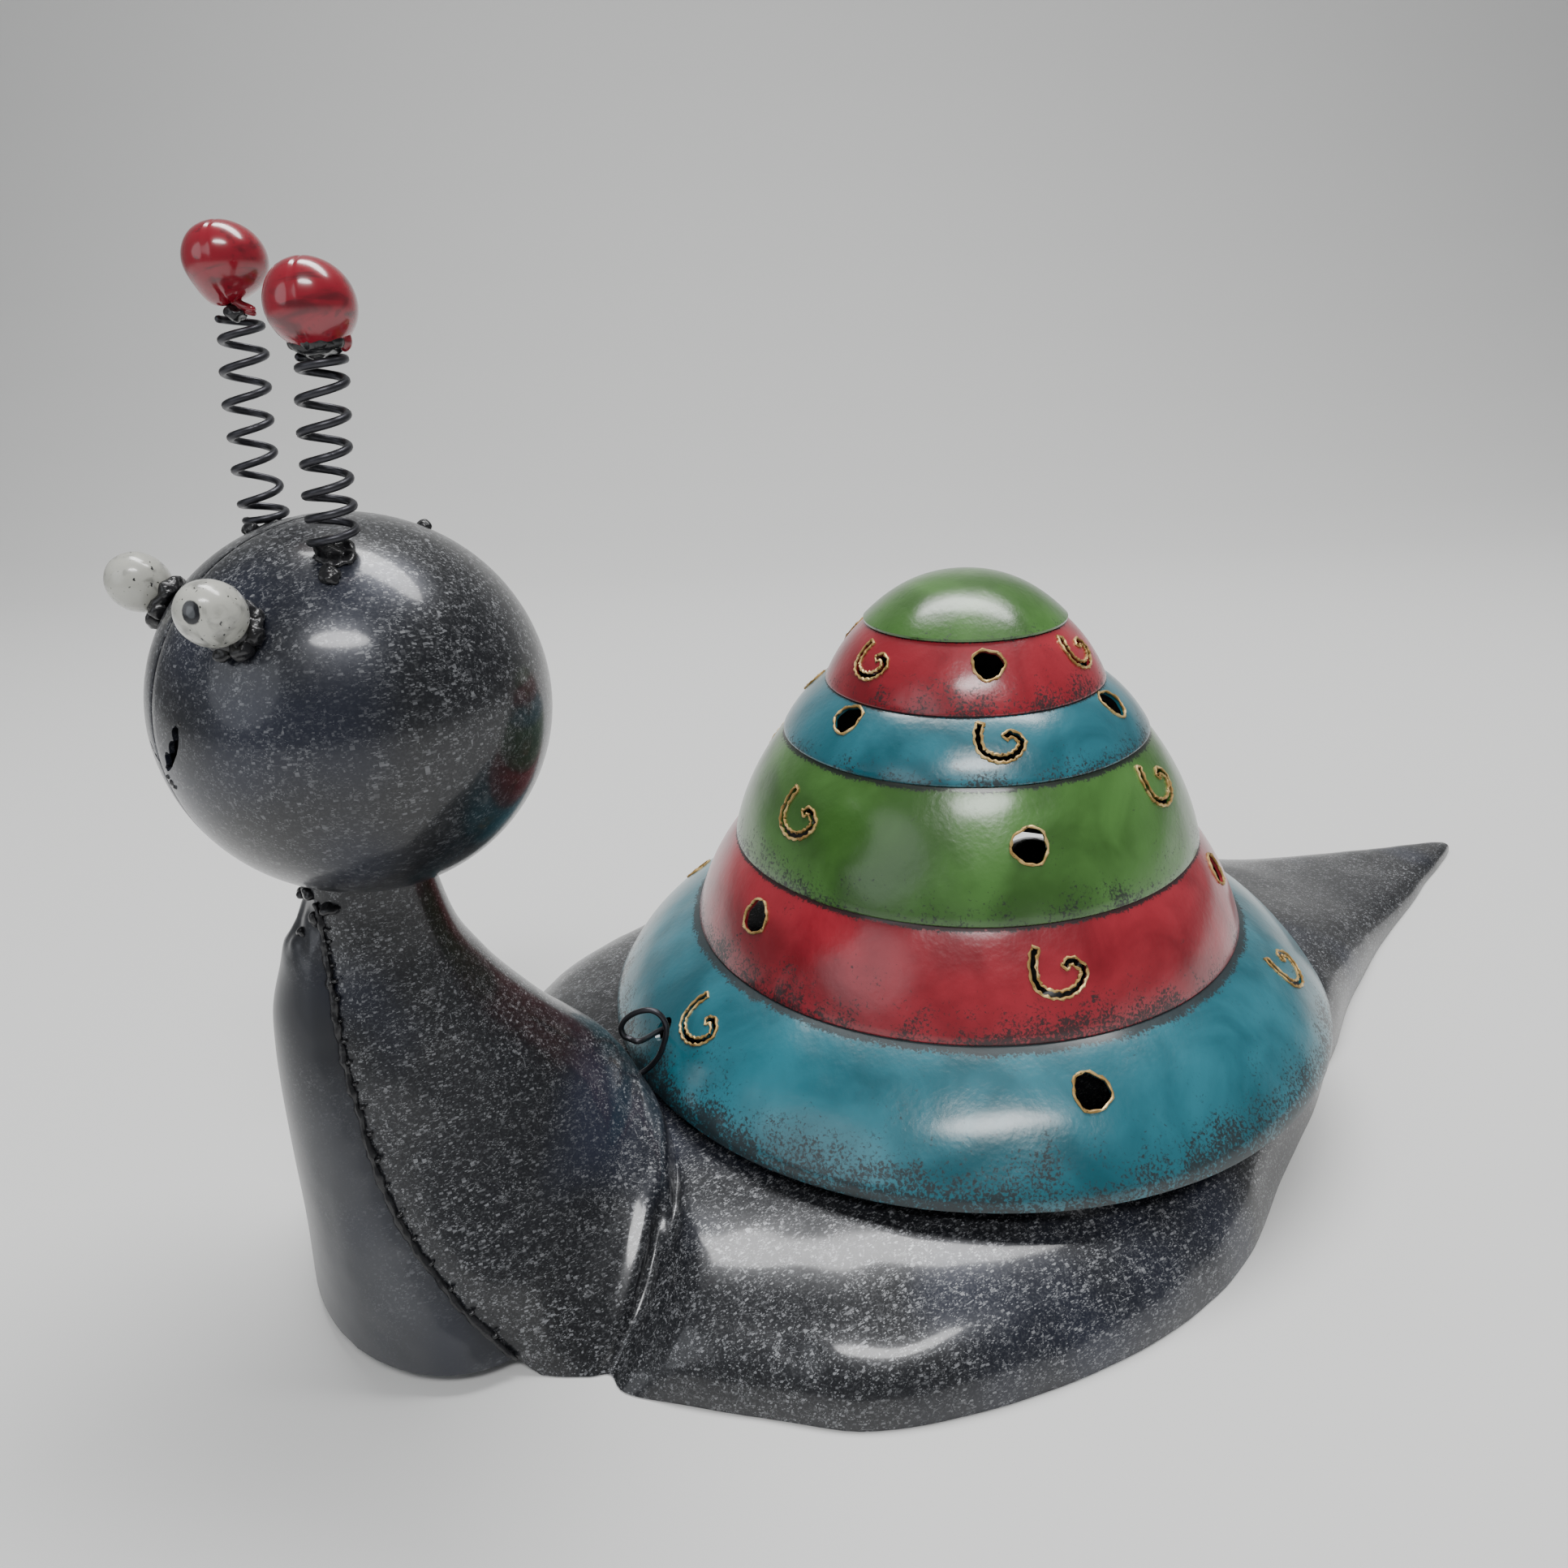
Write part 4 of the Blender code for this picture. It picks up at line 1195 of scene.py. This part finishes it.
    def build_skin(self) -> None:
        """Build the skin with its pleats, dents and level hem."""
        half = 44
        rows = []
        for controls in self.sections():
            row = [bezier(controls, k / half) for k in range(half + 1)]
            other = [Vector((-point.x, point.y, point.z)) for point in row[:0:-1]]
            rows.append(other + row)
        shape = lay_grid(rows)
        bmesh.ops.recalc_face_normals(shape, faces=shape.faces)
        if sum(face.normal.z * face.calc_area() for face in shape.faces) < 0.0:
            bmesh.ops.reverse_faces(shape, faces=shape.faces)
        shape.normal_update()
        for vert in shape.verts:
            push = 0.3 * lumps(vert.co, 17.0) + 0.08 * lumps(vert.co, 6.0)
            push += self.fold(vert.co, math.copysign(1.0, vert.co.x))
            for spot, width, depth in self.dents:
                away = (vert.co - place(*spot)) / MM
                flat = (away.x ** 2 + away.y ** 2) / width ** 2
                push -= depth * math.exp(-flat - (away.z / (2.5 * width)) ** 2)
            vert.co += vert.normal * push * MM
        centre = Head.centre()
        inside = [vert for vert in shape.verts if (vert.co - centre).length < self.head_clear * MM]
        bmesh.ops.delete(shape, geom=inside, context="VERTS")
        bmesh.ops.bisect_plane(
            shape, geom=shape.verts[:] + shape.edges[:] + shape.faces[:], dist=1e-7,
            plane_co=(0.0, 0.0, 0.0), plane_no=(0.0, 0.0, 1.0), clear_inner=True)
        skin = add_object("skin", shape, 70.0)
        self.thicken(skin)
        fit(skin, SKIN_PAINT, "body", ("body_skin",))

    @staticmethod
    def thicken(made: bpy.types.Object) -> None:
        """Give a skin its wall and keep it off the floor."""
        wall = made.modifiers.new("wall", "SOLIDIFY")
        wall.thickness = SHEET * MM
        wall.offset = -1.0
        wall.use_even_offset = True
        applied(made, 70.0)
        for vert in made.data.vertices:
            vert.co.z = max(vert.co.z, 0.0)

    def build_chest(self) -> None:
        """Build the chest plate, crimped where it meets the neck."""
        half = 20
        rows = []
        for height, front, side, forward in catmull(self.chest, 5):
            controls = (
                place(0.0, front, height), place(0.55 * side, front, height),
                place(1.04 * side, forward + 0.55 * (front - forward), height), place(side, forward, height))
            row = [bezier(controls, k / half) for k in range(half + 1)]
            other = [Vector((-point.x, point.y, point.z)) for point in row[:0:-1]]
            rows.append(other + row)
        shape = lay_grid(rows)
        bmesh.ops.recalc_face_normals(shape, faces=shape.faces)
        if sum(face.normal.y * face.calc_area() for face in shape.faces) > 0.0:
            bmesh.ops.reverse_faces(shape, faces=shape.faces)
        shape.normal_update()
        for vert in shape.verts:
            crimp = math.exp(-((vert.co.z / MM - 57.0) / 3.0) ** 2) * 0.5 * lumps(vert.co, 2.2)
            edge = 0.35 * lumps(vert.co, 3.0) * max(0.0, abs(vert.co.x) / MM - 3.0) / 23.0
            vert.co += vert.normal * (0.18 * lumps(vert.co, 15.0) + crimp + edge) * MM
        inside = [vert for vert in shape.verts if (vert.co - Head.centre()).length < self.head_clear * MM]
        bmesh.ops.delete(shape, geom=inside, context="VERTS")
        chest = add_object("chest", shape, 70.0)
        self.thicken(chest)
        fit(chest, CHEST_PAINT, "body", ("chest_plate",))

    def build_seams(self) -> None:
        """Build the ragged bead along each side of the chest plate, with its spatter."""
        for side in Side:
            line = catmull([(row[0], row[2], row[3]) for row in self.chest[1:]], 10)
            path = [place(side.value * (across + 0.25), forward + 0.12, height)
                    for height, across, forward in line]
            bead = tube(path, lambda along: 0.42, sides=10, lump=0.42, grain=1.1)
            beads = [bead]
            for k in range(4, len(path) - 4, 5):
                wander = 0.9 * lumps(path[k], 2.0, 9.0)
                spot = path[k] + Vector((side.value * (0.4 + wander), 0.5, 0.3)) * MM
                size = 0.36 + 0.14 * lumps(path[k], 3.0, 4.0)
                beads.append(blob(spot, (size, size, 0.7 * size), 0.1, 0.5, fine=2))
            node = "seam_weld_" + side.word
            fit(add_object("seam_bead_" + side.word, merged(beads)), WELD_PAINT, "body", (node,))

    def build_neck_lumps(self) -> None:
        """Build the weld inside the neck's top and the lumps at its front."""
        low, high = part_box("neck_weld")
        middle = (low + high) / 2
        reach = (high.x - low.x) / 2 - SHEET * MM
        path = []
        for k in range(48):
            turn = 2.0 * math.pi * k / 48
            spoke = Vector((math.cos(turn), math.sin(turn), 0.0)) * reach
            slope = (middle.y + spoke.y - Head.centre().y) * 0.18
            path.append(Vector((middle.x, middle.y, low.z + 0.6 * MM)) + spoke + UP * abs(slope))
        ring = tube(path, lambda along: 0.6, lump=0.3, closed=True, ups=[UP] * len(path))
        fit(add_object("neck_bead", ring), WELD_PAINT, "body", ("neck_weld",))
        spots = (
            ((1.9, 100.3, 61.3), (1.5, 0.9, 0.8)), ((5.7, 98.6, 60.3), (1.1, 1.3, 0.7)),
            ((3.9, 100.5, 58.6), (0.8, 0.6, 1.1)), ((2.2, 102.2, 56.6), (0.9, 0.5, 0.6)),
            ((-4.2, 99.6, 60.6), (1.4, 1.0, 0.8)), ((-0.6, 101.0, 60.3), (1.0, 0.7, 0.6)))
        lumps_made = [blob(place(*spot), reach, 0.35, 0.9) for spot, reach in spots]
        fit(add_object("neck_lumps", merged(lumps_made)), WELD_PAINT, "body")


# ---------------------------------------------------------------- head and eyes

@dataclass
class Head:
    """The two pressed domes with the cut mouth."""

    radius: float = 22.4
    seam_gap: float = 0.3
    twist: float = 13.3
    height: float = 82.7
    forward: float = 90.2
    mouth: tuple[tuple[float, float, float], ...] = (
        (15.8, 10.4, 0.5), (14.6, 8.4, 1.3), (14.4, 5.8, 0.9), (12.3, 4.0, 1.6), (10.6, 1.2, 1.0),
        (8.3, 0.2, 1.7), (6.4, -2.2, 0.9), (4.2, -3.6, 0.5))
    crack: tuple[tuple[float, float, float], ...] = (
        (-0.8, -2.4, 0.35), (-2.2, -1.2, 0.5), (-3.6, -0.9, 0.35), (-5.2, 1.1, 0.45), (-7.2, 2.0, 0.2))

    @classmethod
    def centre(cls) -> Vector:
        """Return the head's centre in metres."""
        return place(0.0, cls.forward, cls.height)

    @classmethod
    def toward(cls, azimuth: float, elevation: float) -> Vector:
        """Return the direction at degrees from the seam to the left, and up."""
        turn = math.radians(azimuth + cls.twist)
        lift = math.radians(elevation)
        return Vector((math.cos(lift) * math.sin(turn), -math.cos(lift) * math.cos(turn), math.sin(lift)))

    def build(self) -> None:
        """Build both domes and the small welds on them."""
        profile = []
        steps = 60
        for k in range(steps + 1):
            turn = math.pi * k / steps
            profile.append((self.radius * math.sin(turn), self.radius * math.cos(turn)))
        profile[0], profile[-1] = (0.0, self.radius), (0.0, -self.radius)
        for side, stroke in ((Side.LEFT, self.mouth), (Side.RIGHT, self.crack)):
            shape = spun(profile, 60, closed=False, degrees=180.0)
            start = math.radians(self.twist - 90.0) + (0.0 if side is Side.LEFT else math.pi)
            middle = start + math.pi / 2
            turn = Matrix.Rotation(start, 4, "Z")
            away = Vector((math.cos(middle), math.sin(middle), 0.0)) * self.seam_gap / 2 * MM
            shift = Matrix.Translation(self.centre() + away)
            bmesh.ops.transform(shape, matrix=shift @ turn, verts=shape.verts)
            self.turn_out(shape)
            for vert in shape.verts:
                out = (vert.co - self.centre()).normalized()
                vert.co += out * (0.10 * lumps(vert.co, 16.0) - 0.04) * MM
            dome = add_object("head_dome_" + side.word, shape, 50.0)
            wall = dome.modifiers.new("wall", "SOLIDIFY")
            wall.thickness = SHEET * MM
            wall.offset = -1.0
            lip = dome.modifiers.new("lip", "BEVEL")
            lip.width = 0.18 * MM
            lip.segments = 2
            lip.limit_method = "ANGLE"
            lip.angle_limit = math.radians(60.0)
            applied(dome, 50.0)
            for finish in (SKIN_PAINT, WELD_PAINT):
                dome.data.materials.append(finish.material())
            carve(dome, self.stroke(stroke), index=1)
            node = "head_%s_dome" % side.word
            fit(dome, SKIN_PAINT, "body", (node,))
        self.build_marks()

    def turn_out(self, shape: bmesh.types.BMesh) -> None:
        """Turn an open dome's faces away from the head's centre."""
        total = sum(face.normal.dot(face.calc_center_median() - self.centre()) for face in shape.faces)
        if total < 0.0:
            bmesh.ops.reverse_faces(shape, faces=shape.faces)

    def stroke(self, knots: Sequence[tuple[float, float, float]]) -> bmesh.types.BMesh:
        """Return the cutter of a ragged stroke over the head.

        Args:
            knots: Azimuth and elevation in degrees and width in millimetres along the stroke.

        Returns:
            The closed cutter.
        """
        line = catmull(knots, 3)
        centre = self.centre()
        edges: tuple[list[Vector], list[Vector]] = ([], [])
        for i, (azimuth, elevation, width) in enumerate(line):
            here = self.toward(azimuth, elevation)
            before = self.toward(*line[max(i - 1, 0)][:2])
            after = self.toward(*line[min(i + 1, len(line) - 1)][:2])
            across = here.cross((after - before).normalized())
            for edge, hand in zip(edges, (1.0, -1.0)):
                edge.append((here + across * hand * width / 2 / self.radius).normalized())
        outline = edges[0] + edges[1][::-1]
        rings = [[centre + out * (self.radius + lift) * MM for out in outline + outline[:1]]
                 for lift in (-2.5, 1.5)]
        tool = lay_grid(rings)
        close_holes(tool)
        return tool

    def build_marks(self) -> None:
        """Build the pits below the mouth and the small weld bump at the back."""
        pits = []
        for azimuth, elevation, size in (
            (4.2, -7.6, 0.42), (5.4, -8.8, 0.32), (3.0, -6.2, 0.28), (16.8, 11.4, 0.3),
        ):
            out = self.toward(azimuth, elevation)
            spot = self.centre() + out * (self.radius - 0.1) * MM
            pits.append(blob(spot, (size, size, 0.22), 0.12, 0.4, out, 3))
        out = self.toward(180.0, 59.0)
        pits.append(blob(self.centre() + out * (self.radius + 0.1) * MM, (1.3, 0.9, 0.7), 0.3, 0.8, out))
        fit(add_object("head_spatter", merged(pits)), WELD_PAINT, "body")


@dataclass
class Eye:
    """One bead eye on its black weld."""

    side: Side
    pupil_toward: Point
    angle: float = 36.0
    elevation: float = 37.0
    distance: float = 26.6
    radius: float = 3.3
    stretch: float = 1.07

    def build(self) -> None:
        """Build the bead with its pupil, and its weld, which spreads further on the lower side as partly
        painted shadow.
        """
        out = Head.toward(self.side.value * self.angle, self.elevation)
        centre = Head.centre() + out * self.distance * MM
        bead = blob(centre, (self.radius, self.radius, self.radius * self.stretch), 0.07, 2.2, out, 5)
        pupil = centre + Vector(self.pupil_toward).normalized() * self.radius * MM
        finish = EyeEnamel(
            "eye_enamel_" + self.side.word, "eye_white", (0.50, 0.50, 0.45), 0.25, 0.0, 0.5, 0.6, 0.2,
            pupil=tuple(pupil))
        fit(add_object("eye_bead_" + self.side.word, bead), finish, "body", ("eye_" + self.side.word,))
        foot = Head.centre() + out * (Head.radius + 0.35) * MM
        across = out.cross(UP).normalized()
        rise = across.cross(out)
        welds = [blob(foot + out * 0.5 * MM, (2.9, 2.9, 1.35), 0.5, 1.1, out)]
        # the black weld spreads further below the eye: partly a real weld puddle, partly painted shadow cast
        # by the eye
        for turn, reach, size in (
            (200.0, 2.4, 1.1), (240.0, 2.7, 1.2), (285.0, 2.6, 1.0), (330.0, 2.5, 0.8), (150.0, 2.3, 0.8),
        ):
            spoke = across * math.cos(math.radians(turn)) + rise * math.sin(math.radians(turn))
            spot = foot + (spoke * reach + out * 0.35) * MM
            welds.append(blob(spot, (size, size, 0.8 * size), 0.4, 0.9, out, 3))
        node = "eye_weld_" + self.side.word
        fit(add_object("eye_collar_" + self.side.word, merged(welds)), WELD_PAINT, "body", (node,))


# ---------------------------------------------------------------- antennae

@dataclass
class Antenna:
    """One antenna: its coil spring, foot weld, ball and the weld that joins them."""

    side: Side
    turns: tuple[Point, ...]
    ball: Point
    squash: float
    tail: Point
    nub: Point
    split: float
    leads: tuple[tuple[Point, ...], ...] = ()
    wire: float = 0.43
    spring: float = 2.26
    ball_radius: float = 4.36
    seam: Vector = field(default_factory=lambda: Vector((0.477, 0.879, 0.0)))

    def build(self) -> None:
        """Build the antenna from the head up."""
        self.build_spring()
        self.build_foot()
        self.build_ball()
        self.build_collar()

    def coil(self) -> list[Vector]:
        """Return the spring's middle line, from the head up, with its turns where they lie."""
        steps = 26
        start = math.atan2(-0.879, -0.477)
        line = catmull(self.turns, steps)
        path = []
        for i, (side, forward, height) in enumerate(line):
            turn = start + 2.0 * math.pi * i / steps
            size = self.spring + 0.05 * math.sin(1.7 * i / steps)
            spoke = Vector((math.cos(turn), math.sin(turn), 0.0)) * size * MM
            path.append(place(side, forward, height) + spoke)
        return path

    def build_spring(self) -> None:
        """Build the spring in two lengths, neither attached to a body."""
        path = self.coil()
        cut = next(i for i, point in enumerate(path) if point.z > self.split * MM)
        middle = path[cut]
        bodies = ("body", "antenna_%s_spring" % self.side.word, "antenna_%s_ball" % self.side.word)
        lower = [place(*spot) for spot in self.leads[0]] + path[:cut + 1] if self.leads else path[:cut + 1]
        upper = path[cut:] + ([place(*spot) for spot in self.leads[1]] if self.leads else [])
        reach = 4.0 * MM
        foot = Vector((middle.x, middle.y, middle.z - 2.0 * reach))
        top = Vector((middle.x, middle.y, middle.z + 2.0 * reach))
        node = "antenna_spring_" + self.side.word
        for word, points, below, above, start, end in (
            ("lower", lower, bodies[0], bodies[1], foot, middle),
            ("upper", upper, bodies[1], bodies[2], middle, top),
        ):
            made = add_object("spring_%s_%s" % (self.side.word, word), tube(points, lambda along: self.wire))
            fit(made, WIRE_STEEL, "", (node,))
            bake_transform(made)
            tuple(start)
            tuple(end)

    def build_foot(self) -> None:
        """Build the weld that holds the spring's end to the head, and the flat black pad under its first
        turn, partly painted shadow.
        """
        nub = place(*self.nub)
        out = (nub - Head.centre()).normalized()
        surface = Head.centre() + out * Head.radius * MM
        first = Vector(place(*self.turns[0])) - Head.centre()
        under = Head.centre() + first.normalized() * (Head.radius + 0.1) * MM
        welds = [
            blob(surface + out * 0.25 * MM, (1.3, 1.0, 0.75), 0.35, 0.8, out),
            # flat black pad under the spring's first turn: partly weld, partly painted shadow under the coil
            blob(under, (2.6, 2.2, 0.55), 0.35, 1.0, first.normalized()),
        ]
        node = "antenna_foot_weld_" + self.side.word
        fit(add_object("foot_weld_" + self.side.word, merged(welds)), WELD_PAINT, "body", (node,))

    def build_ball(self) -> None:
        """Build the ball with its seam, its squash and its drawn tail."""
        shape = bmesh.new()
        bmesh.ops.create_uvsphere(shape, u_segments=72, v_segments=48, radius=self.ball_radius * MM)
        tail = Vector(self.tail)
        for vert in shape.verts:
            out = vert.co.normalized()
            vert.co.z *= 1.0 - self.squash
            pull = max(0.0, out.dot(tail.normalized())) ** 7 if tail.length else 0.0
            vert.co += tail * pull * MM
            gap = abs(out.dot(self.seam)) * self.ball_radius
            vert.co -= out * (0.14 * math.exp(-(gap / 0.16) ** 2) - 0.05 * lumps(vert.co, 3.0)) * MM
        bmesh.ops.translate(shape, verts=shape.verts, vec=place(*self.ball))
        nodes = tuple("antenna_ball_%s_%s" % (self.side.word, half) for half in ("front", "rear"))
        ball = add_object("antenna_ball_" + self.side.word, shape)
        fit(ball, BALL_ENAMEL, "antenna_%s_ball" % self.side.word, nodes)

    def build_collar(self) -> None:
        """Build the ragged weld under the ball, and a run of paint beside it."""
        body = "antenna_%s_ball" % self.side.word
        centre = place(*self.ball)
        if self.side is Side.LEFT:
            foot = centre - UP * (self.ball_radius - 0.75) * MM
            shapes = [blob(foot, (2.6, 2.5, 1.25), 0.4, 1.3)]
            for k in range(9):
                turn = 2.0 * math.pi * k / 9
                spoke = Vector((math.cos(turn), math.sin(turn), 0.0))
                size = 0.75 + 0.25 * math.sin(2.3 * k)
                spot = foot + (spoke * 2.1 + UP * 0.3) * MM
                shapes.append(blob(spot, (size, size, 0.9), 0.25, 1.0, fine=3))
            drop = centre + (Vector((0.35, 0.72, 0.0)) * 3.2 - UP * 3.3) * MM
            fit(add_object("paint_run_left", blob(drop, (0.75, 0.75, 1.2), 0.12, 1.2)), BALL_ENAMEL, body)
        else:
            foot = centre - (UP * (self.ball_radius + 0.9) - Vector(self.tail) * 0.15) * MM
            shapes = [blob(foot, (1.3, 1.1, 0.8), 0.35, 0.8)]
            for lean in (0.0, 0.8):
                first = centre + (Vector(self.tail) * 0.5 - UP * (self.ball_radius - 0.8 - 0.3 * lean)) * MM
                last = centre + Vector((1.0 + 0.4 * lean, 1.6, -self.ball_radius - 1.1 + 0.5 * lean)) * MM
                middle = first.lerp(last, 0.5) - UP * 0.25 * MM
                line = [Vector(spot) for spot in catmull((first, middle, last), 6)]
                run = tube(line, lambda along: 0.5 - 0.12 * along, lump=0.1)
                fit(add_object("coated_lead_%d" % (1 + int(lean > 0.0)), run), BALL_ENAMEL, body)
        node = "antenna_collar_" + self.side.word
        fit(add_object("ball_weld_" + self.side.word, merged(shapes)), WELD_PAINT, body, (node,))


# ---------------------------------------------------------------- ring and cup

@dataclass
class HingeRing:
    """The bent wire that ties the shell to the shoulder."""

    hole: Point = (-1.6, 55.8, 23.0)
    end: Point = (2.2, 62.0, 19.3)
    middle: Point = (3.1, 60.2, 25.5)
    turn: float = 40.0
    wire: float = 0.43
    bends: tuple[tuple[float, float], ...] = (
        (-0.8, -0.2), (-2.3, -0.1), (-3.4, 0.5), (-3.7, 1.8), (-3.0, 3.2), (-1.6, 4.4), (0.0, 5.1),
        (1.4, 5.2), (2.5, 4.6), (3.2, 3.3), (3.3, 1.8), (2.9, 0.2), (2.1, -2.0), (0.9, -3.9), (-0.4, -5.3))

    def build(self) -> None:
        """Build the wire through both its holes."""
        side, forward, height = self.hole
        points = [(side - 1.4, forward - 3.3, height - 1.1), self.hole]
        lean = math.radians(self.turn)
        for along, rise in self.bends:
            x = self.middle[0] + along * math.sin(lean)
            points.append((x, self.middle[1] - along * math.cos(lean), self.middle[2] + rise))
        side, forward, height = self.end
        points += [self.end, (side - 0.18, forward + 1.8, height)]
        path = [place(*spot) for spot in catmull(points, 6)]
        ring = add_object("hinge_wire", tube(path, lambda along: self.wire, sides=12, lump=0.03))
        fit(ring, WIRE_STEEL, "body", ("hinge_ring",))


@dataclass
class TealightCup:
    """The spun cup under the shell."""

    radius: float = 21.0
    floor: float = 15.9
    rim: float = 21.9
    wall: float = 0.6

    def build(self) -> None:
        """Build the cup with a rolled rim, a soft heel and a stepped floor."""
        inside = self.radius - self.wall
        top = self.floor + self.wall
        profile = [
            (0.0, top + 0.1), (9.0, top + 0.1), (9.6, top), (inside - 0.9, top), (inside - 0.3, top + 0.25),
            (inside, top + 0.9), (inside, self.rim - 0.3), (inside + 0.12, self.rim - 0.08),
            (inside + 0.3, self.rim), (self.radius - 0.12, self.rim - 0.08), (self.radius, self.rim - 0.3),
            (self.radius, self.floor + 0.9), (self.radius - 0.3, self.floor + 0.3),
            (self.radius - 0.9, self.floor), (0.0, self.floor)]
        shape = spun(profile, 96, closed=False)
        bmesh.ops.translate(shape, verts=shape.verts, vec=place(0.0, 0.0, 0.0))
        fit(add_object("tealight_pan", shape), CUP_ZINC, "body", ("tealight_cup",))


# ---------------------------------------------------------------- studio

@dataclass
class Studio:
    """The pale floor, the soft lights and the camera."""

    eye: Vector = field(default_factory=lambda: Vector((136.25, -124.1, 121.3)) * MM)
    look: Vector = field(default_factory=lambda: Vector((-0.8154, 0.4427, -0.3730)).normalized())
    roll: float = -2.68
    lens: float = 25.64

    def build(self) -> None:
        """Build everything that is not the object."""
        self.build_floor()
        self.build_lights()
        self.build_camera()

    def build_floor(self) -> None:
        """Build a pale sheet that sweeps up behind the object."""
        away = Vector((self.look.x, self.look.y, 0.0)).normalized()
        across = away.cross(UP)
        section = [(-1.2, 0.0), (0.45, 0.0)]
        section += [(0.45 + 0.5 * math.sin(math.radians(a)), 0.5 - 0.5 * math.cos(math.radians(a)))
                    for a in range(10, 91, 10)]
        section.append((0.95, 2.4))
        rows = [[away * run + across * wide + UP * (rise - 0.0002) for wide in (-2.2, 0.0, 2.2)]
                for run, rise in section]
        floor = add_object("floor_sheet", lay_grid(rows), 60.0)
        made = bpy.data.materials.new("pale_floor")
        made.use_nodes = True
        shader = made.node_tree.nodes["Principled BSDF"]
        shader.inputs["Base Color"].default_value = (0.72, 0.72, 0.71, 1.0)
        shader.inputs["Roughness"].default_value = 0.7
        floor.data.materials.append(made)

    def add_light(
        self, name: str, spot: Point, size: tuple[float, float], power: float, tint: Paint = (1.0, 1.0, 1.0),
    ) -> None:
        """Add a soft oval light that faces the object.

        Args:
            name: The light's name.
            spot: Where it stands, in metres.
            size: Its width and height in metres.
            power: Its power in watts.
            tint: Its colour.
        """
        data = bpy.data.lights.new(name, "AREA")
        data.shape = "ELLIPSE"
        data.size, data.size_y = size
        data.energy = power
        data.color = tint
        lamp = bpy.data.objects.new(name, data)
        lamp.location = Vector(spot)
        aim = Vector((0.0, -0.02, 0.05)) - lamp.location
        lamp.rotation_euler = aim.to_track_quat("-Z", "Y").to_euler()
        bpy.context.scene.collection.objects.link(lamp)

    def build_lights(self) -> None:
        """Build one window-like light over the far side, one fill and the pale room."""
        self.add_light("window", (-0.15, 0.12, 0.85), (0.9, 0.22), 9.0)
        self.add_light("overhead", (0.55, -0.25, 0.85), (0.5, 0.16), 5.0)
        self.add_light("fill", (0.2, -0.9, 0.45), (0.7, 0.7), 1.6, (0.93, 0.96, 1.0))
        world = bpy.data.worlds.new("room")
        world.use_nodes = True
        room = world.node_tree.nodes["Background"]
        room.inputs["Color"].default_value = (0.80, 0.82, 0.85, 1.0)
        room.inputs["Strength"].default_value = 0.22
        bpy.context.scene.world = world

    def build_camera(self) -> None:
        """Build the camera and make it the scene's own."""
        level = self.look.cross(UP).normalized()
        rise = level.cross(self.look)
        turn = math.radians(self.roll)
        right = level * math.cos(turn) + rise * math.sin(turn)
        top = rise * math.cos(turn) - level * math.sin(turn)
        data = bpy.data.cameras.new("camera")
        data.lens = self.lens
        data.sensor_width = 36.0
        data.clip_start = 0.01
        camera = bpy.data.objects.new("camera", data)
        basis = Matrix((right, top, -self.look)).transposed().to_4x4()
        camera.matrix_world = Matrix.Translation(self.eye) @ basis
        bpy.context.scene.collection.objects.link(camera)
        bpy.context.scene.camera = camera


def main() -> None:
    """Build the lantern's looks in order."""
    logging.basicConfig(level=logging.INFO, format="%(name)s: %(message)s")
    Studio().build()
    Body().build()
    Head().build()
    Eye(Side.LEFT, (0.815, -0.515, 0.265)).build()
    Eye(Side.RIGHT, (-0.498, -0.826, 0.265)).build()
    Antenna(
        Side.LEFT,
        turns=((11.4, 91.16, 103.5), (11.25, 90.86, 105.75), (11.1, 90.76, 108.03), (10.95, 90.39, 111.0),
               (10.8, 89.99, 114.03), (10.65, 89.56, 117.12), (10.5, 89.04, 120.16), (10.45, 88.9, 121.3)),
        ball=(10.5, 89.0, 126.05), squash=0.0, tail=(0.0, 0.0, 0.0), nub=(13.9, 92.5, 100.8), split=112.0,
    ).build()
    Antenna(
        Side.RIGHT,
        turns=((-9.4, 95.28, 103.89), (-9.5, 95.4, 105.61), (-9.6, 95.34, 109.34), (-9.7, 95.04, 112.92),
               (-9.8, 94.77, 116.37), (-9.9, 94.3, 119.87), (-10.0, 93.82, 123.22), (-10.0, 93.8, 125.6)),
        ball=(-10.0, 93.9, 131.5), squash=0.09, tail=(-0.15, -0.3, -0.85), nub=(-6.0, 97.7, 103.9),
        split=114.0,
    ).build()
    Shell().build()
    HingeRing().build()
    TealightCup().build()


if __name__ == "__main__":
    main()
